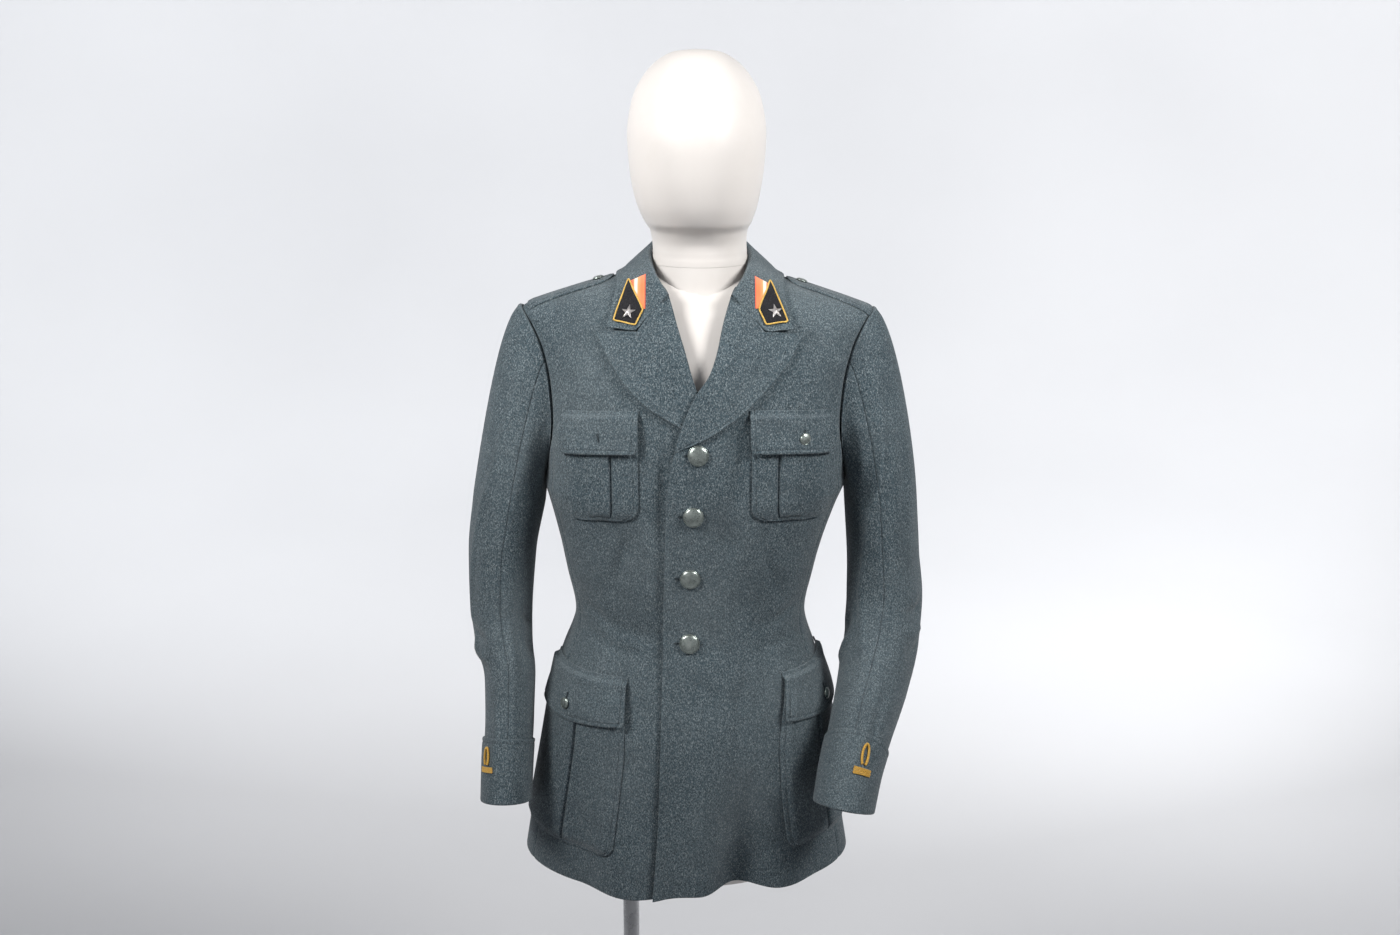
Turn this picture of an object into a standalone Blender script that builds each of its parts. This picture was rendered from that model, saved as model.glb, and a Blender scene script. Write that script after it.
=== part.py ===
"""Military dress tunic worn by a limbless dress form on a pole and a round base.

Metres, +Z up, the front faces -Y, +X is the wearer's left. The origin is on the
floor under the middle of the base.
"""
import math
from bisect import bisect_right
from collections import namedtuple

import bmesh
import bpy
from mathutils import Vector

for old in list(bpy.data.objects):
    bpy.data.objects.remove(old, do_unlink=True)

# ---------------------------------------------------------------- driving sizes
CLOTH = 0.002            # wall of the wool cloth
SEAM = 0.0006            # opening left between two pieces that are sewn edge to edge
LAY = 0.0008             # opening under a piece that lies on another
THIN = 0.0012            # wall of the patches and ribbons

ARMPIT_Z = 1.215
RIDGE_LEVEL = 1.440      # level value of the shoulder seam, see trunk_point
ROUND = 2.4              # how square the form's plan is (2 would be an ellipse)
SHOULDER_ROUND = 2.3     # how square the shoulder is, seen from the side
SIDE_SEAM = math.radians(70)

NECK_HALF = 0.068        # half the width of the neck hole
NECK_BACK = 0.064        # how far the neck hole reaches back

FORM_NECK_Z = 1.492
FORM_BOTTOM_Z = 0.672
POLE_X = -0.0955
POLE_RADIUS = 0.011
BASE_RADIUS = 0.190
BASE_THICK = 0.010

# The trunk, a row for each height: half its width, how far its front and back
# reach from the side line, where its middle is, and how square its plan is.
Trunk = namedtuple("Trunk", "z half front back middle square")
TRUNK = [
    Trunk(0.698, 0.2190, 0.152, 0.152, -0.0185, 1.92),
    Trunk(0.760, 0.2085, 0.152, 0.152, -0.0185, 2.05),
    Trunk(0.814, 0.1985, 0.151, 0.151, -0.0175, 2.20),
    Trunk(0.900, 0.1850, 0.147, 0.146, -0.0150, 2.30),
    Trunk(0.973, 0.1705, 0.134, 0.126, -0.0148, 2.40),
    Trunk(1.043, 0.1500, 0.122, 0.106, -0.0128, 2.40),
    Trunk(1.100, 0.1605, 0.126, 0.112, -0.0125, 2.40),
    Trunk(1.1386, 0.1690, 0.130, 0.119, -0.0112, 2.40),
    Trunk(1.190, 0.1840, 0.135, 0.127, -0.0085, 2.40),
    Trunk(1.215, 0.1930, 0.137, 0.131, -0.0065, 2.40),
]

# Above the armpits: the share of the way up to the shoulder seam, half the width
# between the armhole seams, the sweep where the armhole cuts the trunk (degrees
# from the front's middle) and the middle.
Yoke = namedtuple("Yoke", "rise half sweep middle")
YOKE = [
    Yoke(0.00, 0.1930, 90.0, -0.0065),
    Yoke(0.15, 0.1860, 76.0, -0.0055),
    Yoke(0.38, 0.1790, 68.0, -0.0045),
    Yoke(0.55, 0.1815, 67.0, -0.0040),
    Yoke(0.75, 0.1915, 67.0, -0.0035),
    Yoke(0.88, 0.2040, 67.0, -0.0035),
    Yoke(1.00, 0.2190, 67.0, -0.0035),
]

# The shoulder seam's height over its distance from the middle.
Shoulder = namedtuple("Shoulder", "reach z")
SHOULDER = [
    Shoulder(0.000, 1.5150),
    Shoulder(0.060, 1.4970),
    Shoulder(0.080, 1.4860),
    Shoulder(0.105, 1.4748),
    Shoulder(0.150, 1.4605),
    Shoulder(0.190, 1.4475),
    Shoulder(0.225, 1.4350),
    Shoulder(0.250, 1.4245),
]
SHOULDER_TILT = 0.014    # how much lower the wearer's left shoulder lies, per metre of x

# Large folds: where each starts (upper) and ends (lower), half its width, and how
# far it stands out (+) or sinks in (-) at its two ends.
Fold = namedtuple("Fold", "face upper_x upper_z lower_x lower_z reach upper lower")
FOLDS = [
    Fold("front", 0.052, 0.900, 0.050, 0.690, 0.052, 0.000, -0.034),
    Fold("front", -0.085, 0.900, -0.090, 0.690, 0.070, 0.004, 0.020),
    Fold("front", 0.118, 0.860, 0.112, 0.690, 0.045, 0.000, 0.008),
    Fold("front", 0.045, 1.300, 0.040, 1.180, 0.022, -0.003, -0.005),
    Fold("front", 0.075, 1.160, 0.088, 0.990, 0.020, -0.003, -0.003),
    Fold("front", -0.096, 1.160, -0.105, 0.990, 0.020, -0.003, -0.003),
    Fold("back", -0.075, 0.900, -0.090, 0.690, 0.050, 0.000, -0.014),
    Fold("back", 0.060, 0.920, 0.075, 0.690, 0.055, 0.000, -0.018),
    Fold("back", -0.010, 0.900, -0.010, 0.690, 0.050, 0.000, 0.010),
]

# The front edge of the lapping (left) front and of the front under it, below the
# break of the lapels, and the roll line of the lapels above it, by rise.
FrontEdge = namedtuple("FrontEdge", "z lap under")
FRONT_EDGE = [
    FrontEdge(0.698, -0.0580, 0.0150),
    FrontEdge(0.800, -0.0520, 0.0200),
    FrontEdge(0.900, -0.0490, 0.0230),
    FrontEdge(1.040, -0.0460, 0.0260),
    FrontEdge(1.150, -0.0430, 0.0280),
    FrontEdge(1.215, -0.0410, 0.0285),
]
RollLine = namedtuple("RollLine", "rise left right")
ROLL_LINE = [
    RollLine(0.000, -0.0410, 0.0285),
    RollLine(0.170, -0.0345, 0.0260),
    RollLine(0.256, -0.0263, 0.0200),
    RollLine(0.356, -0.0155, 0.0100),
    RollLine(0.430, -0.0048, -0.0015),
    RollLine(0.520, 0.0119, -0.0107),
    RollLine(0.620, 0.0220, -0.0191),
    RollLine(0.725, 0.0287, -0.0287),
    RollLine(0.815, 0.0360, -0.0360),
    RollLine(0.863, 0.0405, -0.0409),
    RollLine(0.925, 0.0508, -0.0532),
    RollLine(0.967, 0.0590, -0.0590),
    RollLine(1.000, 0.0670, -0.0670),
]

# The sleeves, a row for each section down the arm: its middle, half its width
# across the arm and half its depth from front to back.
Arm = namedtuple("Arm", "x y z half_width half_depth")
ARM = {
    "right": [
        Arm(-0.2465, 0.000, 1.190, 0.0465, 0.080),
        Arm(-0.2575, -0.002, 1.120, 0.0435, 0.077),
        Arm(-0.2605, -0.008, 1.050, 0.0403, 0.072),
        Arm(-0.2575, -0.020, 1.005, 0.0370, 0.068),
        Arm(-0.2485, -0.040, 0.955, 0.0325, 0.064),
        Arm(-0.2480, -0.062, 0.905, 0.0310, 0.060),
        Arm(-0.2500, -0.082, 0.855, 0.0305, 0.058),
        Arm(-0.2510, -0.100, 0.808, 0.0300, 0.057),
    ],
    "left": [
        Arm(0.2335, 0.000, 1.190, 0.0465, 0.080),
        Arm(0.2385, -0.002, 1.120, 0.0465, 0.077),
        Arm(0.2415, -0.010, 1.060, 0.0490, 0.073),
        Arm(0.2360, -0.032, 1.005, 0.0490, 0.069),
        Arm(0.2230, -0.066, 0.955, 0.0460, 0.065),
        Arm(0.2050, -0.108, 0.910, 0.0410, 0.060),
        Arm(0.1895, -0.142, 0.870, 0.0380, 0.057),
        Arm(0.1795, -0.168, 0.832, 0.0365, 0.056),
    ],
}
SIDES = {"right": -1, "left": 1}
CUFF_HEIGHT = 0.080

# The dress form's body below the armpits, and its egg-shaped head and neck.
Body = namedtuple("Body", "z half front back middle")
BODY = [
    Body(0.672, 0.118, 0.078, 0.080, -0.0165),
    Body(0.678, 0.131, 0.091, 0.094, -0.0165),
    Body(0.700, 0.143, 0.102, 0.105, -0.0165),
    Body(0.760, 0.152, 0.110, 0.114, -0.0165),
    Body(0.860, 0.157, 0.116, 0.122, -0.0155),
    Body(0.940, 0.148, 0.113, 0.110, -0.0148),
    Body(1.043, 0.128, 0.105, 0.089, -0.0128),
    Body(1.139, 0.148, 0.115, 0.100, -0.0110),
    Body(1.215, 0.172, 0.124, 0.116, -0.0065),
]
Head = namedtuple("Head", "z half depth forward")
HEAD = [
    Head(1.4923, 0.0600, 0.0600, 0.000),
    Head(1.515, 0.0585, 0.0590, 0.002),
    Head(1.532, 0.0600, 0.0640, 0.006),
    Head(1.545, 0.0665, 0.0740, 0.012),
    Head(1.570, 0.0755, 0.0850, 0.014),
    Head(1.610, 0.0825, 0.0960, 0.012),
    Head(1.650, 0.0850, 0.1020, 0.008),
    Head(1.690, 0.0790, 0.0960, 0.004),
    Head(1.720, 0.0640, 0.0790, 0.002),
    Head(1.740, 0.0430, 0.0530, 0.001),
    Head(1.748, 0.0200, 0.0250, 0.001),
]
HEAD_ASIDE = -0.004     # the head's middle from the frame's middle

# ------------------------------------------------------------------- collections
garment = bpy.data.collections.new("military_dress_tunic")
cutters = bpy.data.collections.new("cutters")
bpy.context.scene.collection.children.link(garment)
bpy.context.scene.collection.children.link(cutters)


def material(name, colour, roughness, metallic=0.0):
    made = bpy.data.materials.new(name)
    made.use_nodes = True
    shader = made.node_tree.nodes["Principled BSDF"]
    shader.inputs["Base Color"].default_value = (*colour, 1.0)
    shader.inputs["Roughness"].default_value = roughness
    shader.inputs["Metallic"].default_value = metallic
    made.diffuse_color = (*colour, 1.0)
    return made


WOOL = material("wool_cloth", (0.090, 0.118, 0.120), 0.95)
BLACK = material("black_cloth", (0.012, 0.012, 0.014), 0.90)
YELLOW = material("yellow_cord", (0.760, 0.470, 0.060), 0.70)
ORANGE = material("orange_ribbon", (0.800, 0.210, 0.030), 0.75)
BUTTON = material("button_metal", (0.130, 0.150, 0.130), 0.40, 0.8)
STAR = material("star_metal", (0.780, 0.790, 0.800), 0.30, 1.0)
CREAM = material("form_shell", (0.880, 0.830, 0.780), 0.45)
STEEL = material("stand_steel", (0.560, 0.560, 0.570), 0.25, 1.0)


# ------------------------------------------------------------------ small helpers
def smooth(places, values, at):
    """A curve without overshoot through the values, read at one place."""
    if at <= places[0]:
        return values[0]
    if at >= places[-1]:
        return values[-1]
    low = bisect_right(places, at) - 1
    slopes = [
        (values[i + 1] - values[i]) / (places[i + 1] - places[i])
        for i in range(len(places) - 1)
    ]

    def lean(index):
        if index == 0:
            return slopes[0]
        if index == len(slopes):
            return slopes[-1]
        before, after = slopes[index - 1], slopes[index]
        if before * after <= 0:
            return 0.0
        return 2 * before * after / (before + after)

    width = places[low + 1] - places[low]
    t = (at - places[low]) / width
    start = (1 + 2 * t) * (1 - t) ** 2 * values[low] + t * (1 - t) ** 2 * width * lean(low)
    end = t * t * (3 - 2 * t) * values[low + 1] - t * t * (1 - t) * width * lean(low + 1)
    return start + end


def columns(table):
    """The table's columns by name, lowest first column first."""
    rows = sorted(table, key=lambda row: row[0])
    return {name: [getattr(row, name) for row in rows] for name in rows[0]._fields}


TRUNK_COLUMNS = columns(TRUNK)
YOKE_COLUMNS = columns(YOKE)
SHOULDER_COLUMNS = columns(SHOULDER)
EDGE_COLUMNS = columns(FRONT_EDGE)
ROLL_COLUMNS = columns(ROLL_LINE)
BODY_COLUMNS = columns(BODY)


def trunk_value(name, z):
    return smooth(TRUNK_COLUMNS["z"], TRUNK_COLUMNS[name], z)


def yoke_value(name, rise):
    return smooth(YOKE_COLUMNS["rise"], YOKE_COLUMNS[name], rise)


def shoulder_z(x):
    return smooth(SHOULDER_COLUMNS["reach"], SHOULDER_COLUMNS["z"], abs(x)) - SHOULDER_TILT * x


def ease(t):
    """0 to 1 with soft ends, clamped outside."""
    t = min(max(t, 0.0), 1.0)
    return t * t * (3 - 2 * t)


def spread(start, end, count):
    return [start + (end - start) * i / (count - 1) for i in range(count)]


# ------------------------------------------------------------- the trunk's surface
def turn_of(level):
    """How far round the shoulder a level is: 0 at the armpit, 90 degrees on top."""
    return math.radians(90) * (level - ARMPIT_Z) / (RIDGE_LEVEL - ARMPIT_Z)


def rise_of(level):
    return abs(math.sin(turn_of(level))) ** (2 / SHOULDER_ROUND)


def level_of(rise):
    rise = min(max(rise, 0.0), 1.0)
    turn = math.asin(rise ** (SHOULDER_ROUND / 2))
    return ARMPIT_Z + (RIDGE_LEVEL - ARMPIT_Z) * turn / math.radians(90)


def armhole_sweep(level):
    """The sweep at which the armhole seam crosses a level."""
    if level <= ARMPIT_Z:
        return math.radians(90)
    return math.radians(yoke_value("sweep", rise_of(level)))


def full_half(rise):
    """Half the width that the trunk would have if it ran on past the armhole."""
    return yoke_value("half", rise) / math.sin(math.radians(yoke_value("sweep", rise)))


def trunk_point(sweep, level):
    """The cloth's outer face. Sweep is the angle round the trunk, 0 in front and 180
    degrees behind, positive towards +X. Level is the height up to the armpit, and
    above it runs on to RIDGE_LEVEL at the shoulder seam."""
    across = math.sin(sweep)
    if level <= ARMPIT_Z:
        x = trunk_value("middle", level) + trunk_value("half", level) * across
        z = level
        close = 1.0
    else:
        turn = turn_of(level)
        rise = rise_of(level)
        close = math.copysign(abs(math.cos(turn)) ** (2 / SHOULDER_ROUND), math.cos(turn))
        x = yoke_value("middle", rise) + full_half(rise) * across
        z = ARMPIT_Z + rise * (shoulder_z(x) - ARMPIT_Z)
    face = "front" if math.cos(sweep) >= 0 else "back"
    depth = trunk_value(face, min(level, ARMPIT_Z))
    square = trunk_value("square", min(level, ARMPIT_Z))
    depth *= max(1 - abs(across) ** square, 0.0) ** (1 / square) * close
    return Vector((x, -depth if face == "front" else depth, z))


def surface_normal(place, u, v, step_u=0.004, step_v=0.0015):
    """The outward unit normal of a surface place(u, v)."""
    along_u = place(u + step_u, v) - place(u - step_u, v)
    along_v = place(u, v + step_v) - place(u, v - step_v)
    return along_u.cross(along_v).normalized()


def fold_height(x, z, face):
    """How far the large folds move the cloth out at a place."""
    height = 0.0
    for fold in FOLDS:
        if fold.face != face:
            continue
        share = (fold.upper_z - z) / (fold.upper_z - fold.lower_z)
        held = min(max(share, 0.0), 1.0)
        middle = fold.upper_x + (fold.lower_x - fold.upper_x) * held
        past = max(share - 1.0, -share, 0.0) * (fold.upper_z - fold.lower_z)
        fade = 1 - ease(past / 0.045)
        reach = abs(x - middle) / fold.reach
        if reach < 1:
            bell = math.cos(reach * math.pi / 2) ** 2
            height += bell * fade * (fold.upper + (fold.lower - fold.upper) * ease(held))
    return height


def lap_lift(x, z):
    """How far the left front is lifted where it laps over the right one."""
    top = 0.0062 if z > 1.25 else 0.0030 + 0.0032 * ease((z - 1.16) / 0.09)
    low = 0.0030 + 0.0020 * ease((0.95 - z) / 0.25)
    lift = max(top if z > 1.16 else 0.0, low) * (1 - ease((z - 1.365) / 0.05))
    return lift * (1 - ease((x - 0.031) / 0.045))


def cloth_point(sweep, level, out=0.0, lapped=False):
    """A point on the garment's trunk, out above its outer face."""
    point = trunk_point(sweep, level)
    normal = surface_normal(trunk_point, sweep, level)
    face = "front" if math.cos(sweep) >= 0 else "back"
    height = out + fold_height(point.x, point.z, face)
    if lapped:
        height += lap_lift(point.x, point.z)
    return point + normal * height


def place_on_front(x, z):
    """Sweep and level of the front at x and z."""
    if z <= ARMPIT_Z:
        middle, half, level = trunk_value("middle", z), trunk_value("half", z), z
    else:
        rise = (z - ARMPIT_Z) / (shoulder_z(x) - ARMPIT_Z)
        middle, half, level = yoke_value("middle", rise), full_half(rise), level_of(rise)
    share = min(max((x - middle) / half, -0.999), 0.999)
    return math.asin(share), level


def on_front(x, z, out, lapped):
    sweep, level = place_on_front(x, z)
    return cloth_point(sweep, level, out, lapped)


# ------------------------------------------------------------------- making meshes
def add_object(name, mesh, finish):
    made = bpy.data.objects.new(name, mesh)
    made.data.materials.append(finish)
    garment.objects.link(made)
    return made


def mesh_from(name, points, faces, finish, sharp=35):
    """An object from points and faces, with its faces turned outward."""
    mesh = bpy.data.meshes.new(name)
    shape = bmesh.new()
    corners = [shape.verts.new(point) for point in points]
    for face in faces:
        shape.faces.new([corners[i] for i in face])
    bmesh.ops.recalc_face_normals(shape, faces=shape.faces)
    bmesh.ops.triangulate(shape, faces=shape.faces)
    shape.to_mesh(mesh)
    shape.free()
    mesh.shade_smooth()
    mesh.set_sharp_from_angle(angle=math.radians(sharp))
    return add_object(name, mesh, finish)


def shell(name, outer, inner, finish, ring=False):
    """A closed wall between two grids of points. In a ring, rows close on themselves."""
    rows, across = len(outer), len(outer[0])
    points = [p for row in outer for p in row] + [p for row in inner for p in row]
    back = rows * across

    def at(row, column):
        return row * across + column % across

    faces = []
    last = across if ring else across - 1
    for row in range(rows - 1):
        for column in range(last):
            a, b = at(row, column), at(row, column + 1)
            c, d = at(row + 1, column + 1), at(row + 1, column)
            faces.append((a, b, c, d))
            faces.append((d + back, c + back, b + back, a + back))
    for column in range(last):
        a, b = at(0, column), at(0, column + 1)
        c, d = at(rows - 1, column), at(rows - 1, column + 1)
        faces.append((b, a, a + back, b + back))
        faces.append((c, d, d + back, c + back))
    if not ring:
        for row in range(rows - 1):
            a, b = at(row, 0), at(row + 1, 0)
            c, d = at(row, across - 1), at(row + 1, across - 1)
            faces.append((a, b, b + back, a + back))
            faces.append((d, c, c + back, d + back))
    return mesh_from(name, points, faces, finish)


def laid_sheet(name, places, heights, finish, wall=CLOTH, lapped=False):
    """A sheet over the trunk: for each place (sweep, level) the height of its lower face."""
    outer = []
    inner = []
    for row, row_heights in zip(places, heights):
        outer.append([cloth_point(s, v, h + wall, lapped) for (s, v), h in zip(row, row_heights)])
        inner.append([cloth_point(s, v, h, lapped) for (s, v), h in zip(row, row_heights)])
    return shell(name, outer, inner, finish)


# ---------------------------------------------------------------- the trunk panels
LOWER_ROWS = [0.698, 0.732, 0.770, 0.812, 0.856, 0.900, 0.940, 0.976, 1.010, 1.043, 1.080,
              1.125, 1.170]
UPPER_TURNS = (0, 4, 10, 18, 28, 40, 52, 65, 78, 90)
UPPER_ROWS = [ARMPIT_Z + (RIDGE_LEVEL - ARMPIT_Z) * turn / 90 for turn in UPPER_TURNS]
SEAM_SWEEP = math.radians(0.10)
RIDGE_GAP = 0.0012       # the last level stays this much short of the shoulder seam


def roll_x(side, level):
    if level <= ARMPIT_Z:
        return smooth(EDGE_COLUMNS["z"], EDGE_COLUMNS["lap" if side > 0 else "under"], level)
    return smooth(ROLL_COLUMNS["rise"], ROLL_COLUMNS["left" if side > 0 else "right"], rise_of(level))


def sweep_at(x, level):
    """The front sweep at which a level passes x."""
    if level <= ARMPIT_Z:
        middle, half = trunk_value("middle", level), trunk_value("half", level)
    else:
        middle, half = yoke_value("middle", rise_of(level)), full_half(rise_of(level))
    return math.asin(min(max((x - middle) / half, -1.0), 1.0))


def seam_level():
    """The level at which the side seam runs into the armhole."""
    low, high = ARMPIT_Z, RIDGE_LEVEL
    for _ in range(40):
        middle = (low + high) / 2
        if armhole_sweep(middle) > SIDE_SEAM:
            low = middle
        else:
            high = middle
    return low


def panel(name, inner_edge, outer_edge, levels, count, lapped=False):
    """A trunk panel between two edges, each a sweep for every level."""
    places = [
        [(sweep, level) for sweep in spread(inner_edge(level), outer_edge(level), count)]
        for level in levels
    ]
    heights = [[-CLOTH] * count for _ in levels]
    return laid_sheet(name, places, heights, WOOL, CLOTH, lapped)


def front(name, side):
    top = RIDGE_LEVEL - RIDGE_GAP
    levels = LOWER_ROWS + UPPER_ROWS[:-1] + [top]
    return panel(
        name,
        lambda level: sweep_at(roll_x(side, level), level),
        lambda level: side * (min(SIDE_SEAM, armhole_sweep(level)) - SEAM_SWEEP),
        levels,
        13,
        lapped=side > 0,
    )


def side_panel(name, side):
    """From the front seam under the arm to the back seam, up to the armhole."""
    top = seam_level()
    sweeps = spread(SIDE_SEAM + SEAM_SWEEP, math.radians(180) - SIDE_SEAM - SEAM_SWEEP, 5)

    def end_level(sweep):
        fold = sweep if sweep <= math.radians(90) else math.radians(180) - sweep
        low, high = ARMPIT_Z, top
        for _ in range(40):
            middle = (low + high) / 2
            if armhole_sweep(middle) > fold:
                low = middle
            else:
                high = middle
        return low

    rows = []
    for level in LOWER_ROWS:
        rows.append([(side * sweep, level) for sweep in sweeps])
    for share in (0.0, 0.5, 1.0):
        rows.append([
            (side * sweep, ARMPIT_Z + share * (end_level(sweep) - ARMPIT_Z) - 0.0004)
            for sweep in sweeps
        ])
    heights = [[-CLOTH] * len(sweeps) for _ in rows]
    return laid_sheet(name, rows, heights, WOOL)


def neck_level(sweep):
    """The level at which the back's cloth ends at the neck hole, or the shoulder seam."""
    low, high = ARMPIT_Z, RIDGE_LEVEL - RIDGE_GAP
    for _ in range(40):
        middle = (low + high) / 2
        point = trunk_point(sweep, middle)
        room = 1 - (point.x / NECK_HALF) ** 2
        hole = NECK_BACK * math.sqrt(room) if room > 0 else 0.0
        if point.y > hole:
            low = middle
        else:
            high = middle
    return low


def back(name, side):
    """From the centre back seam to the side seam, up to the neck and the shoulder."""
    count = 10
    rows = []
    half_turn = math.radians(180)
    corner = half_turn - math.asin((NECK_HALF + 0.0035) / full_half(1.0))
    for level in LOWER_ROWS + UPPER_ROWS:
        if level <= ARMPIT_Z:
            edge = half_turn - SIDE_SEAM + SEAM_SWEEP
        else:
            edge = half_turn - min(SIDE_SEAM, armhole_sweep(level)) + SEAM_SWEEP
        start = half_turn - 0.0025
        sweeps = spread(start, corner, 5)[:-1] + spread(corner, edge, count - 4)
        row = []
        for sweep in sweeps:
            share = (level - ARMPIT_Z) / (RIDGE_LEVEL - ARMPIT_Z)
            reached = level if share <= 0 else ARMPIT_Z + share * (neck_level(sweep) - ARMPIT_Z)
            row.append((side * sweep, reached))
        rows.append(row)
    heights = [[-CLOTH] * count for _ in rows]
    return laid_sheet(name, rows, heights, WOOL)


# --------------------------------------------------------------------- the sleeves
AROUND = 18              # points round a sleeve
CAP_ROWS = 4             # rows over the sleeve head
ARM_ROWS = 9             # rows down the arm
UNDER_FROM = 5           # the under sleeve runs between these two points
UNDER_TO = 12


def armhole_point(side, around):
    """The armhole seam: around is 0 on the shoulder, 0.25 in front, 0.5 at the armpit."""
    share = min(around, 1 - around) * 2
    level = RIDGE_LEVEL - (RIDGE_LEVEL - ARMPIT_Z) * share
    sweep = armhole_sweep(level)
    if around > 0.5:
        sweep = math.radians(180) - sweep
    return trunk_point(side * sweep, level) + Vector((side * SEAM, 0, 0))


def arm_value(rows, name, share):
    places = list(range(len(rows)))
    return smooth(places, [getattr(row, name) for row in rows], share * (len(rows) - 1))


def arm_middle(rows, share):
    return Vector([arm_value(rows, name, share) for name in "xyz"])


def arm_axis(rows, share):
    ahead = arm_middle(rows, min(share + 0.03, 1.0))
    behind = arm_middle(rows, max(share - 0.03, 0.0))
    return (ahead - behind).normalized()


def arm_section(side, around, share):
    rows = ARM["left" if side > 0 else "right"]
    axis = arm_axis(rows, share)
    away = Vector((side, 0, 0))
    away = (away - axis * away.dot(axis)).normalized()
    ahead = away.cross(axis) * side
    if ahead.y > 0:
        ahead = -ahead
    angle = around * math.tau
    wide = arm_value(rows, "half_width", share) * math.cos(angle)
    deep = arm_value(rows, "half_depth", share) * math.sin(angle)
    return arm_middle(rows, share) + away * wide + ahead * deep


def sleeve_point(side, around, share):
    """The sleeve's outer face: share -1 to 0 is the sleeve head, 0 to 1 the arm."""
    around %= 1.0
    if share >= 0:
        return arm_section(side, around, min(share, 1.0))
    t = share + 1
    start = armhole_point(side, around)
    end = arm_section(side, around, 0.0)
    over = math.cos(around * math.pi) ** 2
    leave = Vector((side * (0.012 + 0.068 * over), 0, -0.02 * (1 - over)))
    rows = ARM["left" if side > 0 else "right"]
    arrive = arm_axis(rows, 0.0) * (0.03 + 0.22 * over)
    point = (1 + 2 * t) * (1 - t) ** 2 * start + t * (1 - t) ** 2 * leave
    return point + t * t * (3 - 2 * t) * end - t * t * (1 - t) * arrive


def sleeve_normal(side, around, share):
    step = 0.012
    low = max(share - step, -1.0)
    high = min(share + step, 1.0)
    round_it = sleeve_point(side, around + 0.01, share) - sleeve_point(side, around - 0.01, share)
    down = sleeve_point(side, around, high) - sleeve_point(side, around, low)
    normal = round_it.cross(down).normalized()
    return normal * side


def sleeve_cloth(side, around, share, out):
    return sleeve_point(side, around, share) + sleeve_normal(side, around, share) * out


def sleeve_shares():
    cap = [-1 + i / CAP_ROWS for i in range(CAP_ROWS)]
    return cap + [i / ARM_ROWS for i in range(ARM_ROWS + 1)]


def sleeve_piece(name, side, first, last):
    """The part of a sleeve between two of the points round it."""
    steps = [i / AROUND for i in range(first, last + 1)]
    steps[0] += 0.0011
    steps[-1] -= 0.0011
    outer = [[sleeve_cloth(side, a, s, 0.0) for a in steps] for s in sleeve_shares()]
    inner = [[sleeve_cloth(side, a, s, -CLOTH) for a in steps] for s in sleeve_shares()]
    return shell(name, outer, inner, WOOL)


def cuff_start(side):
    """The share of the arm at which the cuff starts."""
    rows = ARM["left" if side > 0 else "right"]
    end = arm_middle(rows, 1.0)
    low, high = 0.5, 1.0
    for _ in range(30):
        middle = (low + high) / 2
        if (arm_middle(rows, middle) - end).length > CUFF_HEIGHT:
            low = middle
        else:
            high = middle
    return low


def cuff(name, side):
    shares = spread(cuff_start(side), 1.0, 3)
    steps = [i / AROUND for i in range(AROUND)]
    outer = [[sleeve_cloth(side, a, s, LAY + CLOTH) for a in steps] for s in shares]
    inner = [[sleeve_cloth(side, a, s, LAY) for a in steps] for s in shares]
    return shell(name, outer, inner, WOOL, ring=True)


# ----------------------------------------------------------- snapping on the cloth
def snap(point, out, lapped=False):
    """The point's nearest place on the trunk and its height there, at least out."""
    face_back = point.y > 0
    sweep, level = place_on_front(point.x, min(point.z, shoulder_z(point.x) - 0.003))
    if face_back:
        sweep = math.pi - sweep
    step_s, step_v = 0.002, 0.0005
    for _ in range(12):
        here = trunk_point(sweep, level)
        along_s = (trunk_point(sweep + step_s, level) - trunk_point(sweep - step_s, level)) / (2 * step_s)
        along_v = (trunk_point(sweep, level + step_v) - trunk_point(sweep, level - step_v)) / (2 * step_v)
        miss = point - here
        ss, sv, vv = along_s.dot(along_s), along_s.dot(along_v), along_v.dot(along_v)
        rs, rv = along_s.dot(miss), along_v.dot(miss)
        scale = ss * vv - sv * sv
        move_s = (vv * rs - sv * rv) / scale
        move_v = (ss * rv - sv * rs) / scale
        sweep += min(max(move_s, -0.15), 0.15)
        level += min(max(move_v, -0.02), 0.02)
        level = min(level, RIDGE_LEVEL - 0.0006)
    here = trunk_point(sweep, level)
    height = (point - here).dot(surface_normal(trunk_point, sweep, level))
    return cloth_point(sweep, level, max(height, out), lapped)


def grid_normals(grid):
    """A normal for each point of a grid, from its neighbours."""
    rows, across = len(grid), len(grid[0])
    normals = []
    for r in range(rows):
        line = []
        for c in range(across):
            down = grid[min(r + 1, rows - 1)][c] - grid[max(r - 1, 0)][c]
            along = grid[r][min(c + 1, across - 1)] - grid[r][max(c - 1, 0)]
            line.append(down.cross(along).normalized())
        normals.append(line)
    return normals


# ---------------------------------------------------------------------- the lapels
# The outer edge of each turned lapel from its lower tip to its peak.
Edge = namedtuple("Edge", "x z")
LAPEL_EDGE = {
    "right": [
        Edge(0.0170, 1.2880), Edge(0.0000, 1.2975), Edge(-0.0238, 1.3095), Edge(-0.0380, 1.3177),
        Edge(-0.0594, 1.3299), Edge(-0.0819, 1.3494), Edge(-0.1032, 1.3762),
        Edge(-0.1173, 1.4018), Edge(-0.1275, 1.4200),
    ],
    "left": [
        Edge(-0.0238, 1.2835), Edge(0.0024, 1.2945), Edge(0.0238, 1.3068), Edge(0.0416, 1.3177),
        Edge(0.0642, 1.3373), Edge(0.0889, 1.3627), Edge(0.1081, 1.3861),
        Edge(0.1225, 1.4108), Edge(0.1310, 1.4200),
    ],
}
GORGE_RISE = 0.885       # where the roll line meets the seam between lapel and collar
NOTCH = {"right": Edge(0.0755, 1.4200), "left": Edge(0.0782, 1.4190)}
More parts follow.
